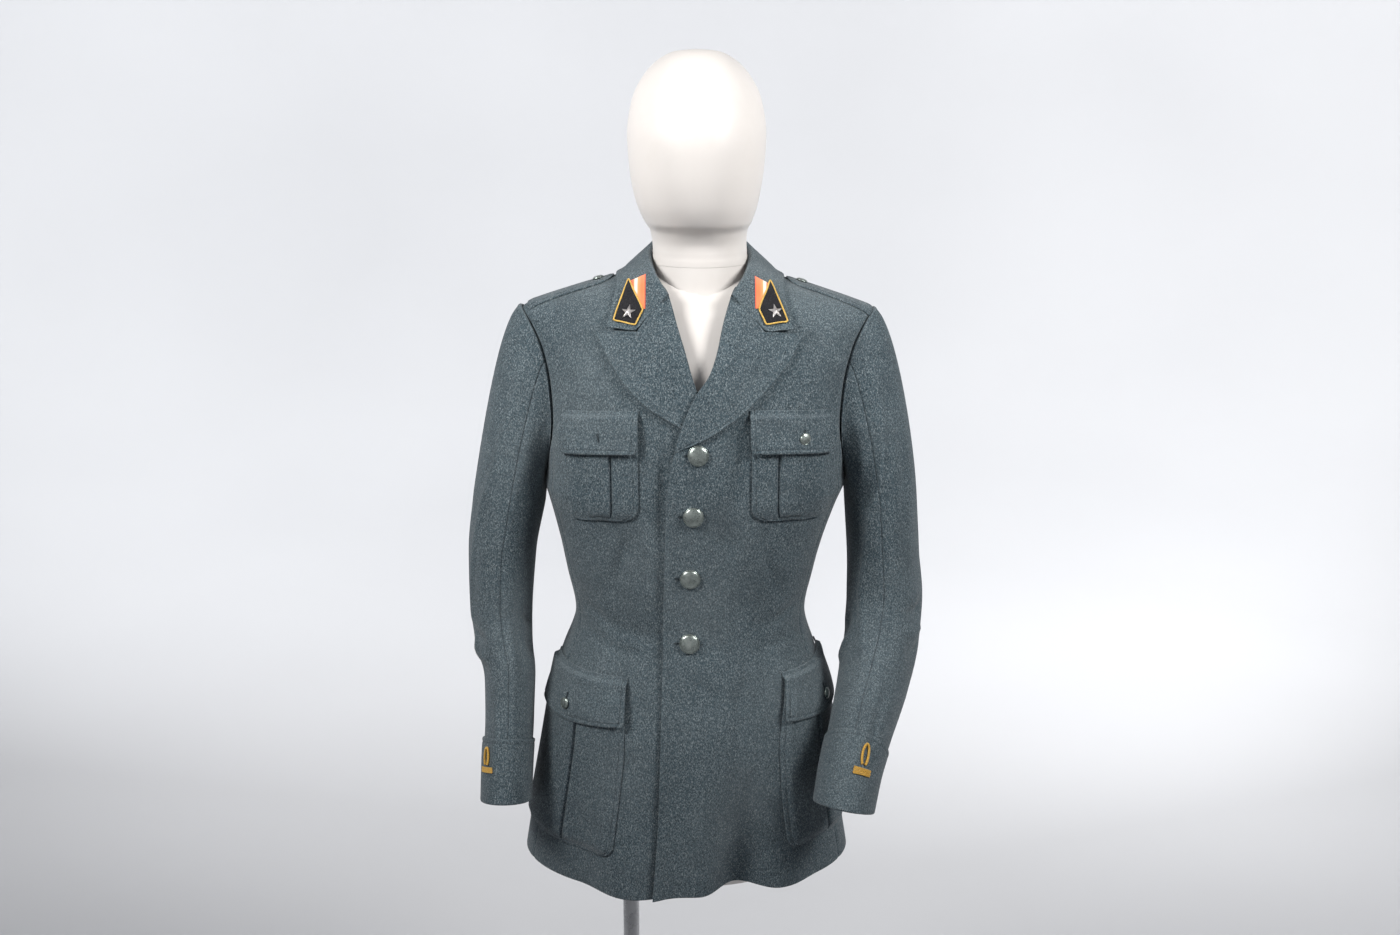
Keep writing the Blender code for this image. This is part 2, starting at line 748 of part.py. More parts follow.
NOTCH_SHARE = 0.55
LAPEL_START = {"right": 0.245, "left": 0.225}
LAPEL_ACROSS = (0.0, 0.14, 0.28, 0.42, NOTCH_SHARE, 0.70, 0.85, 1.0)
LAPEL_ROWS = 11


def roll_place(side, rise):
    """x and z of the roll line at a rise."""
    x = smooth(ROLL_COLUMNS["rise"], ROLL_COLUMNS["left" if side > 0 else "right"], rise)
    return Vector((x, ARMPIT_Z + rise * (shoulder_z(x) - ARMPIT_Z)))


def along_points(points, share):
    """A smooth path through points, by share of their count."""
    places = list(range(len(points)))
    at = share * (len(points) - 1)
    return Vector([smooth(places, [point[i] for point in points], at) for i in range(2)])


def lapel(name, side):
    key = "left" if side > 0 else "right"
    start = LAPEL_START[key]
    edge = [Vector(point) for point in LAPEL_EDGE[key]]
    top_in = roll_place(side, GORGE_RISE)
    notch = Vector((side * NOTCH[key].x, NOTCH[key].z))
    peak = edge[-1]
    low_in = roll_place(side, start)
    low_out = edge[0]

    def top(u):
        if u <= NOTCH_SHARE:
            return top_in.lerp(notch, u / NOTCH_SHARE)
        return notch.lerp(peak, (u - NOTCH_SHARE) / (1 - NOTCH_SHARE))

    outer = []
    inner = []
    for row in range(LAPEL_ROWS):
        v = row / (LAPEL_ROWS - 1)
        rolled = roll_place(side, start + (GORGE_RISE - start) * v)
        free = along_points(edge, v)
        lines = ([], [])
        for u in LAPEL_ACROSS:
            place = rolled.lerp(free, u) + low_in.lerp(low_out, u).lerp(top(u), v)
            place -= low_in.lerp(low_out, u).lerp(top_in.lerp(peak, u), v)
            bump = math.sin(min(u / 0.42, 1.0) * math.pi) ** 2 * 0.0025 * ease((place.y - 1.36) / 0.03)
            lines[0].append(on_front(place.x, place.y, LAY + bump + CLOTH, side > 0))
            lines[1].append(on_front(place.x, place.y, LAY + bump, side > 0))
        outer.append(lines[0])
        inner.append(lines[1])
    return shell(name, outer, inner, WOOL)


# ---------------------------------------------------------------------- the collar
# Stations from the middle of the back (0) to the front end (1): the top of the
# roll and the free edge of the fall.
Collar = namedtuple("Collar", "share roll_x roll_y roll_z edge_x edge_y edge_z")
COLLAR = [
    Collar(0.00, 0.0000, 0.0700, 1.5400, 0.0000, 0.0920, 1.488),
    Collar(0.18, 0.0270, 0.0640, 1.5370, 0.0360, 0.0860, 1.486),
    Collar(0.36, 0.0500, 0.0435, 1.5215, 0.0720, 0.0640, 1.480),
    Collar(0.50, 0.0630, 0.0160, 1.5085, 0.0965, 0.0300, 1.477),
    Collar(0.60, 0.0645, -0.0060, 1.5040, 0.1030, -0.0060, 1.475),
    Collar(0.72, 0.0625, -0.0320, 1.4970, 0.1015, -0.0400, 1.471),
    Collar(0.86, 0.0570, -0.0610, 1.4860, 0.1050, -0.0680, 1.451),
    Collar(1.00, 0.0490, -0.0790, 1.4780, 0.1125, -0.0950, 1.424),
]
COLLAR_COLUMNS = columns(COLLAR)
COLLAR_SIDE = 0.55       # the share at which the neck seam passes the shoulder
COLLAR_STATIONS = 10     # on each side of the middle of the back
ROLL_RADIUS = 0.0032
FALL_ROWS = 4
SECTION = (0.0, 0.5, 1.0, 2.0, 3.0, 4.0, 5.0, 6.0, 7.0)


def neck_seam(side, share):
    """The neckline on one side, where the collar's stand is sewn."""
    if share <= COLLAR_SIDE:
        low = math.radians(180) - 0.0001
        high = math.radians(180) - math.asin(NECK_HALF / full_half(1.0))
        sweep = low + (high - low) * share / COLLAR_SIDE
        return cloth_point(side * sweep, neck_level(side * sweep), 0.0010)
    rise = 1.0 - (1.0 - GORGE_RISE - 0.008) * (share - COLLAR_SIDE) / (1 - COLLAR_SIDE)
    level = min(level_of(rise), RIDGE_LEVEL - 0.001)
    place = smooth(ROLL_COLUMNS["rise"], ROLL_COLUMNS["left" if side > 0 else "right"], rise)
    return cloth_point(sweep_at(place, level), level, 0.0010)


def collar_point(side, share, down):
    """The middle of the collar's wall on one side: down runs from 0 at the neck seam
    over the roll at 2 to 7 at the free edge."""

    def station(kind):
        x, y, z = [smooth(COLLAR_COLUMNS["share"], COLLAR_COLUMNS[kind + axis], share) for axis in "xyz"]
        return Vector((side * x, y, z - side * SHOULDER_TILT * x))

    root = neck_seam(side, share)
    roll = station("roll_")
    away = Vector((roll.x, roll.y, 0)).normalized()
    rise = max(roll.z - root.z, 0.004)
    drop = min(0.0022, rise * 0.5)
    inside = roll - away * ROLL_RADIUS - Vector((0, 0, drop))
    outside = roll + away * ROLL_RADIUS - Vector((0, 0, drop))
    if down <= 1:
        return root.lerp(inside, down)
    if down <= 2:
        return inside.lerp(roll, down - 1)
    if down <= 3:
        return roll.lerp(outside, down - 2)
    edge = station("edge_")
    part = (down - 3) / FALL_ROWS
    point = outside.lerp(edge, part)
    bent = ease((share - 0.80) / 0.20)
    corner = NOTCH["left" if side > 0 else "right"]
    notch = Vector((side * (corner.x + 0.0006), point.y, corner.z + 0.0004))
    gorge = outside.lerp(notch, part / 0.6) if part < 0.6 else notch.lerp(edge, (part - 0.6) / 0.4)
    gorge.y = point.y
    point = point.lerp(gorge, bent * bent)
    bulge = math.sin(part * math.pi) * 0.002 * (1 - bent)
    point += Vector((away.x, away.y, 1.0)).normalized() * bulge
    return snap(point, LAY + CLOTH / 2 + 0.0012)


def collar(name):
    stations = [i / COLLAR_STATIONS for i in range(-COLLAR_STATIONS, COLLAR_STATIONS + 1)]
    middle = [
        [collar_point(-1 if share < 0 else 1, abs(share), down) for share in stations]
        for down in SECTION
    ]
    normals = grid_normals(middle)
    outer = [[p + n * CLOTH / 2 for p, n in zip(row, line)] for row, line in zip(middle, normals)]
    inner = [[p - n * CLOTH / 2 for p, n in zip(row, line)] for row, line in zip(middle, normals)]
    return shell(name, outer, inner, WOOL)


def collar_place(side, x, z):
    """Share and down of the collar's fall at x and z, seen from the front."""
    share, down = 0.93, 5.5
    for _ in range(25):
        here = collar_point(side, share, down)
        by_share = (collar_point(side, share + 0.004, down) - here) / 0.004
        by_down = (collar_point(side, share, down + 0.05) - here) / 0.05
        miss_x, miss_z = x - here.x, z - here.z
        scale = by_share.x * by_down.z - by_down.x * by_share.z
        share += min(max((miss_x * by_down.z - by_down.x * miss_z) / scale, -0.05), 0.05)
        down += min(max((by_share.x * miss_z - miss_x * by_share.z) / scale, -0.8), 0.8)
        share = min(max(share, 0.6), 0.999)
        down = min(max(down, 3.0), 6.95)
    return share, down


def on_collar(side, x, z, out):
    """A point out above the collar's outer face, seen from the front at x and z."""
    share, down = collar_place(side, side * x, z)
    point = collar_point(side, share, down)
    ahead = collar_point(side, min(share + 0.01, 1.0), down) - collar_point(side, share - 0.01, down)
    below = collar_point(side, share, min(down + 0.1, 7.0)) - collar_point(side, share, down - 0.1)
    normal = ahead.cross(below).normalized()
    if normal.y > 0:
        normal = -normal
    return point + normal * (CLOTH / 2 + out), normal


# ------------------------------------------------------- what is sewn on the collar
# Corners by their distance from the middle and their height, seen from the front.
PATCH = {
    "right": {
        "top": Edge(0.0860, 1.4776), "inner": Edge(0.0688, 1.4458),
        "low_inner": Edge(0.0776, 1.4290), "low_outer": Edge(0.1042, 1.4330),
    },
    "left": {
        "top": Edge(0.0847, 1.4758), "inner": Edge(0.0712, 1.4458),
        "low_inner": Edge(0.0795, 1.4290), "low_outer": Edge(0.1060, 1.4310),
    },
}
RIBBON = {
    "right": {
        "top_outer": Edge(0.0805, 1.4785), "top_inner": Edge(0.0657, 1.4850),
        "low_inner": Edge(0.0625, 1.4550), "low_outer": Edge(0.0655, 1.4545),
    },
    "left": {
        "top_outer": Edge(0.0790, 1.4755), "top_inner": Edge(0.0665, 1.4825),
        "low_inner": Edge(0.0640, 1.4550), "low_outer": Edge(0.0672, 1.4545),
    },
}
STAR_PLACE = {"right": Edge(0.0855, 1.4417), "left": Edge(0.0903, 1.4417)}
STAR_RADIUS = 0.0095
PATCH_LAY = 0.0009       # openings under the patch, the ribbon and the star
RIBBON_LAY = 0.0013
STAR_LAY = 0.0006
PIPING_RADIUS = 0.0011
PIPING_LAY = 0.0022       # from the collar to the middle of the piping
PIPING_OUT = 0.0030      # from the patch's edge to the middle of its piping


def four_sided(corners, across, rows):
    """A grid of places between four corners, given in order round the patch."""
    a, b, c, d = [Vector(corner) for corner in corners]
    return [
        [a.lerp(b, u).lerp(d.lerp(c, u), v) for u in spread(0, 1, across)]
        for v in spread(0, 1, rows)
    ]


def collar_sheet(name, side, corners, across, rows, out, finish):
    outer = []
    inner = []
    for line in four_sided(corners, across, rows):
        outer.append([on_collar(side, p.x, p.y, out + THIN)[0] for p in line])
        inner.append([on_collar(side, p.x, p.y, out)[0] for p in line])
    return shell(name, outer, inner, finish)


def cord(name, points, radius, finish, closed=False):
    """A round cord through points."""
    path = bpy.data.curves.new(name, "CURVE")
    path.dimensions = "3D"
    path.bevel_depth = radius
    path.bevel_resolution = 1
    path.use_fill_caps = True
    spline = path.splines.new("POLY")
    spline.points.add(len(points) - 1)
    for knot, point in zip(spline.points, points):
        knot.co = (*point, 1.0)
    spline.use_cyclic_u = closed
    made = bpy.data.objects.new(name, path)
    path.materials.append(finish)
    garment.objects.link(made)
    return made


def turned(name, profile, steps, finish, place=(0, 0, 0), upward=(0, 0, 1)):
    """A profile of (radius, height) from the top down, turned about its own axis."""
    mesh = bpy.data.meshes.new(name)
    mesh.from_pydata([(r, 0, z) for r, z in profile], [(i, i + 1) for i in range(len(profile) - 1)], [])
    made = add_object(name, mesh, finish)
    made.location = place
    made.rotation_euler = Vector(upward).to_track_quat("Z", "Y").to_euler()
    spin = made.modifiers.new("turn", "SCREW")
    spin.axis = "Z"
    spin.steps = steps
    spin.render_steps = steps
    spin.use_merge_vertices = True
    spin.merge_threshold = 0.00001
    spin.use_smooth_shade = True
    return made


DOME_RISE = 0.42         # height of a button as a share of its radius
DOME_RIM = 0.35          # height of its rim as a share of its height
DOME_FOOT = 0.94         # radius of its flat back as a share of its radius


def button(name, place, upward, radius, finish=BUTTON, steps=16):
    """A domed button with a flat back."""
    height = radius * DOME_RISE
    turns = spread(0, math.pi / 2, 4)
    profile = [(radius * math.sin(a), height * (DOME_RIM + (1 - DOME_RIM) * math.cos(a))) for a in turns]
    profile += [(radius * DOME_FOOT, 0.0), (0.0, 0.0)]
    return turned(name, profile, steps, finish, place, upward)


def seated_button(name, place, spot, steps_over, radius, steps=10):
    """A button on place(a, b, out): it stands just clear of the cloth all round its rim."""
    a, b = spot
    middle = place(a, b, 0.0)
    upward = (place(a, b, 0.01) - middle).normalized()
    highest = 0.0
    for turn in range(12):
        angle = math.tau * turn / 12
        rim = place(a + steps_over[0] * math.cos(angle), b + steps_over[1] * math.sin(angle), 0.0)
        highest = max(highest, (rim - middle).dot(upward))
    button(name, middle + upward * (highest + BUTTON_GAP), upward, radius, steps=steps)


def star(name, place, upward, pointing, radius):
    """A five-pointed star with a raised middle."""
    normal = upward.normalized()
    top = (pointing - normal * pointing.dot(normal)).normalized()
    across = top.cross(normal)
    base, rim = 0.0, 0.0008
    points = []
    for height in (base, rim):
        for i in range(10):
            reach = radius if i % 2 == 0 else radius * 0.40
            turn = math.radians(36 * i)
            way = top * math.cos(turn) + across * math.sin(turn)
            points.append(place + way * reach + normal * height)
    points.append(place + normal * 0.0)
    points.append(place + normal * 0.0026)
    faces = []
    for i in range(10):
        after = (i + 1) % 10
        faces.append((i, after, after + 10, i + 10))
        faces.append((i, 20, after))
        faces.append((i + 10, after + 10, 21))
    return mesh_from(name, points, faces, STAR, 10)


def collar_insignia(word, side):
    patch = [PATCH[word][key] for key in ("top", "inner", "low_inner", "low_outer")]
    collar_sheet("collar_patch_" + word, side, patch, 5, 5, PATCH_LAY, BLACK)
    ribbon = [RIBBON[word][key] for key in ("top_outer", "top_inner", "low_inner", "low_outer")]
    collar_sheet("collar_ribbon_" + word, side, ribbon, 4, 5, RIBBON_LAY, ORANGE)
    corners = [Vector(corner) for corner in patch]
    middle = sum(corners, Vector((0, 0))) / 4
    route = []
    for start, end in zip(corners, corners[1:] + corners[:1]):
        for share in (0.06, 0.5, 0.94):
            spot = start.lerp(end, share)
            spot += (spot - middle).normalized() * PIPING_OUT
            route.append(on_collar(side, spot.x, spot.y, PIPING_LAY)[0])
    cord("collar_piping_" + word, route, PIPING_RADIUS, YELLOW, closed=True)
    star_at = STAR_PLACE[word]
    place, normal = on_collar(side, star_at.x, star_at.z, PATCH_LAY + THIN + STAR_LAY)
    star("collar_star_" + word, place, normal, Vector((0, 0, 1)), STAR_RADIUS)


# --------------------------------------------------------------------- the pockets
# Chest pockets by x and z; the pleat is the raised strip down the middle.
Chest = namedtuple("Chest", "side left right top low pleat_left pleat_right")
CHEST = {
    "right": Chest(-1, -0.1660, -0.0745, 1.3200, 1.1930, -0.1340, -0.1080),
    "left": Chest(1, 0.0620, 0.1585, 1.3200, 1.1930, 0.0955, 0.1220),
}
Flap = namedtuple("Flap", "left right top low")
CHEST_FLAP = {
    "right": Flap(-0.1675, -0.0735, 1.3290, 1.2770),
    "left": Flap(0.0590, 0.1610, 1.3300, 1.2780),
}
CORNER = 0.018           # radius of a pocket's lower corners
PLEAT_STEP = 0.0020
CHEST_LAY = 0.0013       # opening under a chest pocket, where the cloth hollows at the armpit
STEP_WIDTH = 0.0030

# Lower pockets by sweep (degrees) and height; the lean moves their top outward.
Lower = namedtuple("Lower", "side front back lean top low")
LOWER = {
    "right": Lower(-1, -25.0, -86.0, 3.0, 0.9760, 0.7500),
    "left": Lower(1, 38.0, 97.0, 8.0, 0.9760, 0.7500),
}
LOWER_FLAP_TOP = 0.986
LOWER_FLAP_LOW = 0.926
BELLOWS = 0.0050         # how far a lower pocket stands off
FRONT_BUTTONS = (1.2775, 1.2015, 1.1195, 1.0325)
FRONT_BUTTON_X = (-0.002, -0.008, -0.012, -0.013)
BUTTON_RADIUS = 0.0127
SMALL_RADIUS = 0.0073
BUTTON_GAP = 0.0005


def pleat_columns(left, right, pleat_left, pleat_right):
    """Places across a pocket with a column at each side of both pleat steps."""
    places = spread(left, pleat_left - STEP_WIDTH, 4)
    places += spread(pleat_left, pleat_right, 3)
    places += spread(pleat_right + STEP_WIDTH, right, 4)
    return places


def corner_inset(height):
    """How far a rounded lower corner draws the side in at a height over the bottom."""
    if height >= CORNER:
        return 0.0
    return CORNER - math.sqrt(max(CORNER ** 2 - (CORNER - height) ** 2, 0.0))


def chest_heights(pocket, x, z):
    """Height of a chest pocket's lower face."""
    edge = min(x - pocket.left, pocket.right - x, z - pocket.low)
    swell = 0.0016 * ease(edge / 0.012) * ease((pocket.top - z) / 0.03)
    on_pleat = pocket.pleat_left - 0.0005 <= x <= pocket.pleat_right + 0.0005
    return CHEST_LAY + swell + (PLEAT_STEP * ease((z - pocket.low) / 0.012) if on_pleat else 0.0)


def chest_pocket(word):
    pocket = CHEST[word]
    rows = [pocket.low + CORNER * share for share in (0.0, 0.08, 0.30, 0.65, 1.0)]
    rows += spread(pocket.low + CORNER, pocket.top, 6)[1:]
    base = pleat_columns(pocket.left, pocket.right, pocket.pleat_left, pocket.pleat_right)
    outer = []
    inner = []
    for z in rows:
        inset = corner_inset(z - pocket.low)
        shrink_left = spread(0, 1, 4)
        line = [x + inset * (1 - s) for x, s in zip(base[:4], shrink_left)]
        line += base[4:-4]
        line += [x - inset * s for x, s in zip(base[-4:], shrink_left)]
        lapped = pocket.side > 0
        stand_off = [chest_heights(pocket, b, z) for b in base]
        outer.append([on_front(x, z, out + CLOTH, lapped) for x, out in zip(line, stand_off)])
        inner.append([on_front(x, z, out, lapped) for x, out in zip(line, stand_off)])
    return shell("chest_pocket_" + word, outer, inner, WOOL)


def chest_flap_height(pocket, x, z):
    """Height of a chest flap's lower face: on the front at its top, over the pocket below."""
    if z > pocket.top + 0.0040:
        return LAY
    near = min(max(x, pocket.left), pocket.right)
    over = chest_heights(pocket, near, z) + CLOTH + 0.0008 + PLEAT_STEP
    return max(over, LAY + PLEAT_STEP + CLOTH + 0.0016)


def chest_flap(word):
    pocket, flap = CHEST[word], CHEST_FLAP[word]
    across = spread(flap.left, flap.right, 11)
    rows = [flap.top, pocket.top + 0.0055, pocket.top + 0.0012]
    rows += spread(pocket.top - 0.006, flap.low, 4)
    outer = []
    inner = []
    for z in rows:
        line = ([], [])
        for x in across:
            height = chest_flap_height(pocket, x, z)
            line[0].append(on_front(x, z, height + CLOTH, pocket.side > 0))
            line[1].append(on_front(x, z, height, pocket.side > 0))
        outer.append(line[0])
        inner.append(line[1])
    return shell("chest_flap_" + word, outer, inner, WOOL)


def lower_heights(pocket, share, z):
    """Height of a lower pocket's lower face, share of its width from the front edge."""
    edge = min(share, 1 - share) * 0.19
    edge = min(edge, z - pocket.low)
    swell = BELLOWS * ease(edge / 0.016) * ease((pocket.top - z) / 0.05)
    on_pleat = 0.41 <= share <= 0.59
    return LAY + swell + (PLEAT_STEP * ease((z - pocket.low) / 0.012) if on_pleat else 0.0)


def lower_sweep(pocket, share, z):
    """The sweep of a lower pocket at a share of its width and a height."""
    lean = pocket.lean * ease((z - 0.88) / 0.11) * (1 - share)
    degrees = pocket.front + share * (pocket.back - pocket.front) + pocket.side * lean
    return math.radians(degrees)


def lower_pocket(word):
    pocket = LOWER[word]
    rows = [pocket.low + CORNER * share for share in (0.0, 0.08, 0.30, 0.65, 1.0)]
    rows += spread(pocket.low + CORNER, pocket.top, 7)[1:]
    shares = [0.0, 0.085, 0.20, 0.30, 0.395, 0.42, 0.50, 0.58, 0.605, 0.70, 0.80, 0.915, 1.0]
    outer = []
    inner = []
    for z in rows:
        inset = corner_inset(z - pocket.low) / 0.19
        line = ([], [])
        for share in shares:
            drawn = share + inset * (1 - share / 0.395) if share < 0.395 else share
            drawn = drawn - inset * (share - 0.605) / 0.395 if share > 0.605 else drawn
            sweep = lower_sweep(pocket, drawn, z)
            height = lower_heights(pocket, share, z)
            line[0].append(cloth_point(sweep, z, height + CLOTH, False))
            line[1].append(cloth_point(sweep, z, height, False))
        outer.append(line[0])
        inner.append(line[1])
    return shell("lower_pocket_" + word, outer, inner, WOOL)


def lower_flap_height(pocket, share, z):
    near = min(max(share, 0.0), 1.0)
    over = lower_heights(pocket, near, z) + CLOTH + PLEAT_STEP + 0.0010
    if z > pocket.top + 0.0040:
        return LAY
    return max(over, LAY + CLOTH + PLEAT_STEP + 0.0016)


def lower_flap(word):
    pocket = LOWER[word]
    rows = [LOWER_FLAP_TOP, pocket.top + 0.0055, pocket.top + 0.0012]
    rows += spread(pocket.top - 0.007, LOWER_FLAP_LOW, 4)
    shares = spread(-0.02, 1.02, 13)
    outer = []
    inner = []
    for z in rows:
        line = ([], [])
        for share in shares:
            dip = -0.006 * math.sin(min(max(share, 0), 1) * math.pi) if z == rows[-1] else 0.0
            sweep = lower_sweep(pocket, share, z)
            height = lower_flap_height(pocket, share, z)
            line[0].append(cloth_point(sweep, z + dip, height + CLOTH, False))
            line[1].append(cloth_point(sweep, z + dip, height, False))
        outer.append(line[0])
        inner.append(line[1])
    return shell("lower_flap_" + word, outer, inner, WOOL)


# --------------------------------------------------------- straps, buttons and cords
STRAP_IN = 0.1070
STRAP_OUT = 0.2160
STRAP_HALF = 0.0215
STRAP_Y = -0.003
STRAP_BUTTON_X = 0.1265


def strap(word, side):
    """A shoulder strap: rows run outward from its rounded inner end."""
    marks = [STRAP_IN + STRAP_HALF * (1 - math.cos(a)) for a in spread(0, math.pi / 2, 4)]
    marks += spread(marks[-1], STRAP_OUT, 7)[1:]
    outer = []
    inner = []
    for mark in marks:
        into = min((mark - STRAP_IN) / STRAP_HALF, 1.0)
        half = STRAP_HALF * math.sqrt(max(1 - (1 - into) ** 2, 0.0))
        half = max(half, 0.005)
        row = ([], [])
        for share in (-1, -0.6, -0.2, 0.2, 0.6, 1):
            pull = 0.0055 * share * share * ease((mark - 0.19) / 0.026)
            point = Vector((side * (mark - pull), STRAP_Y + share * half, 0))
            row[0].append(shoulder_point(point.x, point.y, LAY + CLOTH))
            row[1].append(shoulder_point(point.x, point.y, LAY))
        outer.append(row[0])
        inner.append(row[1])
    return shell("strap_" + word, outer, inner, WOOL)


def shoulder_place(x, y):
    """Sweep and level of the yoke at x and y, near the shoulder seam."""
    rise = 1.0
    face = "front" if y <= 0 else "back"
    for _ in range(20):
        share = (x - yoke_value("middle", rise)) / full_half(rise)
        square = trunk_value("square", ARMPIT_Z)
        depth = trunk_value(face, ARMPIT_Z) * (1 - abs(share) ** square) ** (1 / square)
        close = min(abs(y) / depth, 0.999)
        rise = (1 - close ** SHOULDER_ROUND) ** (1 / SHOULDER_ROUND)
    sweep = math.asin(share)
    level = min(level_of(rise), RIDGE_LEVEL - 0.0002)
    return (sweep if y <= 0 else math.pi - sweep), level


def shoulder_point(x, y, out):
    return cloth_point(*shoulder_place(x, y), out)


def front_buttons():
    for number, (x, z) in enumerate(zip(FRONT_BUTTON_X, FRONT_BUTTONS), 1):
        seated_button(
            "button_front_%d" % number,
            lambda a, b, out: on_front(a, b, out, True),
            (x, z), (BUTTON_RADIUS, BUTTON_RADIUS), BUTTON_RADIUS, steps=14,
        )


def small_buttons():
    radius = SMALL_RADIUS
    chest = CHEST["left"]
    seated_button(
        "button_chest_left",
        lambda a, b, out: on_front(a, b, chest_flap_height(chest, a, b) + CLOTH + out, True),
        (0.1225, 1.2960), (radius, radius), radius,
    )
    for word, pocket in LOWER.items():
        def on_flap(share, z, out, pocket=pocket):
            height = lower_flap_height(pocket, share, z) + CLOTH + out
            return cloth_point(lower_sweep(pocket, share, z), z, height)

        seated_button("button_lower_" + word, on_flap, (0.50, 0.9400), (radius / 0.19, radius), radius)
    for word, side in SIDES.items():
        seated_button(
            "button_strap_" + word,
            lambda a, b, out: shoulder_point(a, b, LAY + CLOTH + out),
            (side * STRAP_BUTTON_X, STRAP_Y), (radius, radius), radius,
        )


# The braid on each cuff: a flat bar and a loop of cord standing on it. Around says
# where it lies round the sleeve, and half_turn how far the bar runs to each side.
Braid = namedtuple("Braid", "around below_top half_turn")
BRAID = {
    "right": Braid(0.135, 0.034, 0.050),
    "left": Braid(0.205, 0.034, 0.042),
}
BAR_HEIGHT = 0.0065
LOOP_HALF_HEIGHT = 0.0105
LOOP_HALF_TURN = 0.0100
CORD_RADIUS = 0.0017


def cuff_braid(word, side):
    mark = BRAID[word]
    start = cuff_start(side)
    per_metre = (1 - start) / CUFF_HEIGHT
    face = LAY + CLOTH

    def spot(around, below, out):
        return sleeve_cloth(side, around, start + below * per_metre, face + out)

    across = spread(mark.around - mark.half_turn, mark.around + mark.half_turn, 7)
    down = (mark.below_top, mark.below_top + BAR_HEIGHT)
    outer = [[spot(a, below, 0.0007 + THIN) for a in across] for below in down]
    inner = [[spot(a, below, 0.0007) for a in across] for below in down]
    shell("cuff_bar_" + word, outer, inner, YELLOW)
    loop = []
    for turn in spread(-60, 240, 11):
        angle = math.radians(turn)
        below = mark.below_top - LOOP_HALF_HEIGHT - CORD_RADIUS - LOOP_HALF_HEIGHT * math.sin(angle)
        loop.append(spot(mark.around + LOOP_HALF_TURN * math.cos(angle), below, CORD_RADIUS + 0.0001))
    cord("cuff_loop_" + word, loop, CORD_RADIUS, YELLOW)


# --------------------------------------------------------------- the form and stand
FORM_AROUND = 20
FORM_TURNS = (0, 8, 20, 34, 48, 62, 74, 82)


def form_ring(level):
    """A ring of the form's body, inside the cloth."""
    points = []
    for i in range(FORM_AROUND):
        sweep = math.tau * i / FORM_AROUND
        across, ahead = math.sin(sweep), math.cos(sweep)
        face = "front" if ahead >= 0 else "back"
        if level <= ARMPIT_Z:
            half = smooth(BODY_COLUMNS["z"], BODY_COLUMNS["half"], level)
            x = smooth(BODY_COLUMNS["z"], BODY_COLUMNS["middle"], level) + half * across
            z, close = level, 1.0
        else:
            turn = turn_of(level)
            rise = rise_of(level)
            close = math.cos(turn) ** (2 / SHOULDER_ROUND)
            wide = yoke_value("half", rise) - 0.006 - 0.015 * (1 - ease(rise / 0.5))
            x = yoke_value("middle", rise) + wide * across
            away = math.copysign(max(abs(x), 0.078), x)
            z = ARMPIT_Z + rise * (shoulder_z(away) - 0.0046 - ARMPIT_Z)
        depth = smooth(BODY_COLUMNS["z"], BODY_COLUMNS[face], min(level, ARMPIT_Z)) * close
        depth *= max(1 - abs(across) ** ROUND, 0.0) ** (1 / ROUND)
        points.append(Vector((x, -depth if face == "front" else depth, z)))
    return points


def loft(name, rings, finish, ridge=False):
    """A closed body through rings of points. Its ends are flat, or its top is a ridge
    that joins each front point to the one behind it."""
    count = len(rings[0])
    points = [point for ring in rings for point in ring]
    faces = [tuple(range(count))[::-1]]
    last = len(points) - count
    if ridge:
        quarter = count // 4
        for i in range(-quarter, quarter):
            corners = [i % count, (i + 1) % count, (2 * quarter - i - 1) % count, (2 * quarter - i) % count]
            faces.append([last + c for c in dict.fromkeys(corners)])
    else:
        faces.append(tuple(range(last, len(points))))
    for row in range(len(rings) - 1):
        for i in range(count):
            after = (i + 1) % count
            low, high = row * count, (row + 1) * count
            faces.append((low + i, low + after, high + after, high + i))
    return mesh_from(name, points, faces, finish)


def ellipse(x, y, z, half, depth, count):
    return [
        Vector((x + half * math.sin(math.tau * i / count), y - depth * math.cos(math.tau * i / count), z))
        for i in range(count)
    ]


def form_torso():
    levels = [row.z for row in BODY]
    levels += [ARMPIT_Z + (RIDGE_LEVEL - ARMPIT_Z) * turn / 90 for turn in FORM_TURNS[1:]]
    body = loft("form_torso", [form_ring(level) for level in levels], CREAM, ridge=True)
    neck = loft("neck_stub", [ellipse(0, 0, z, 0.060, 0.060, 20) for z in (1.380, FORM_NECK_Z)], CREAM)
    for old in list(neck.users_collection):
        old.objects.unlink(neck)
    cutters.objects.link(neck)
    neck.hide_render = True
    neck.display_type = "WIRE"
    joined = body.modifiers.new("neck", "BOOLEAN")
    joined.operation = "UNION"
    joined.object = neck


def form_head():
    rings = []
    for row in HEAD:
        aside = HEAD_ASIDE * ease((row.z - HEAD[0].z) / 0.1)
        rings.append(ellipse(aside, -row.forward, row.z, row.half, row.depth, 20))
    loft("form_head", rings, CREAM)


def stand():
    height = FORM_BOTTOM_Z - 0.0003 - BASE_THICK - 0.0003
    bpy.ops.mesh.primitive_cylinder_add(
        vertices=24, radius=POLE_RADIUS, depth=height,
        location=(POLE_X, 0.0, BASE_THICK + 0.0003 + height / 2),
    )
    pole = bpy.context.object
    pole.name = "pole"
    pole.data.materials.append(STEEL)
    edge = 0.002
    profile = [(0.0, BASE_THICK), (BASE_RADIUS - edge, BASE_THICK), (BASE_RADIUS, BASE_THICK - edge),
               (BASE_RADIUS, 0.0), (0.0, 0.0)]
    base = turned("base", profile, 36, STEEL)
    for made in (pole, base):
        for old in list(made.users_collection):
            old.objects.unlink(made)
        garment.objects.link(made)


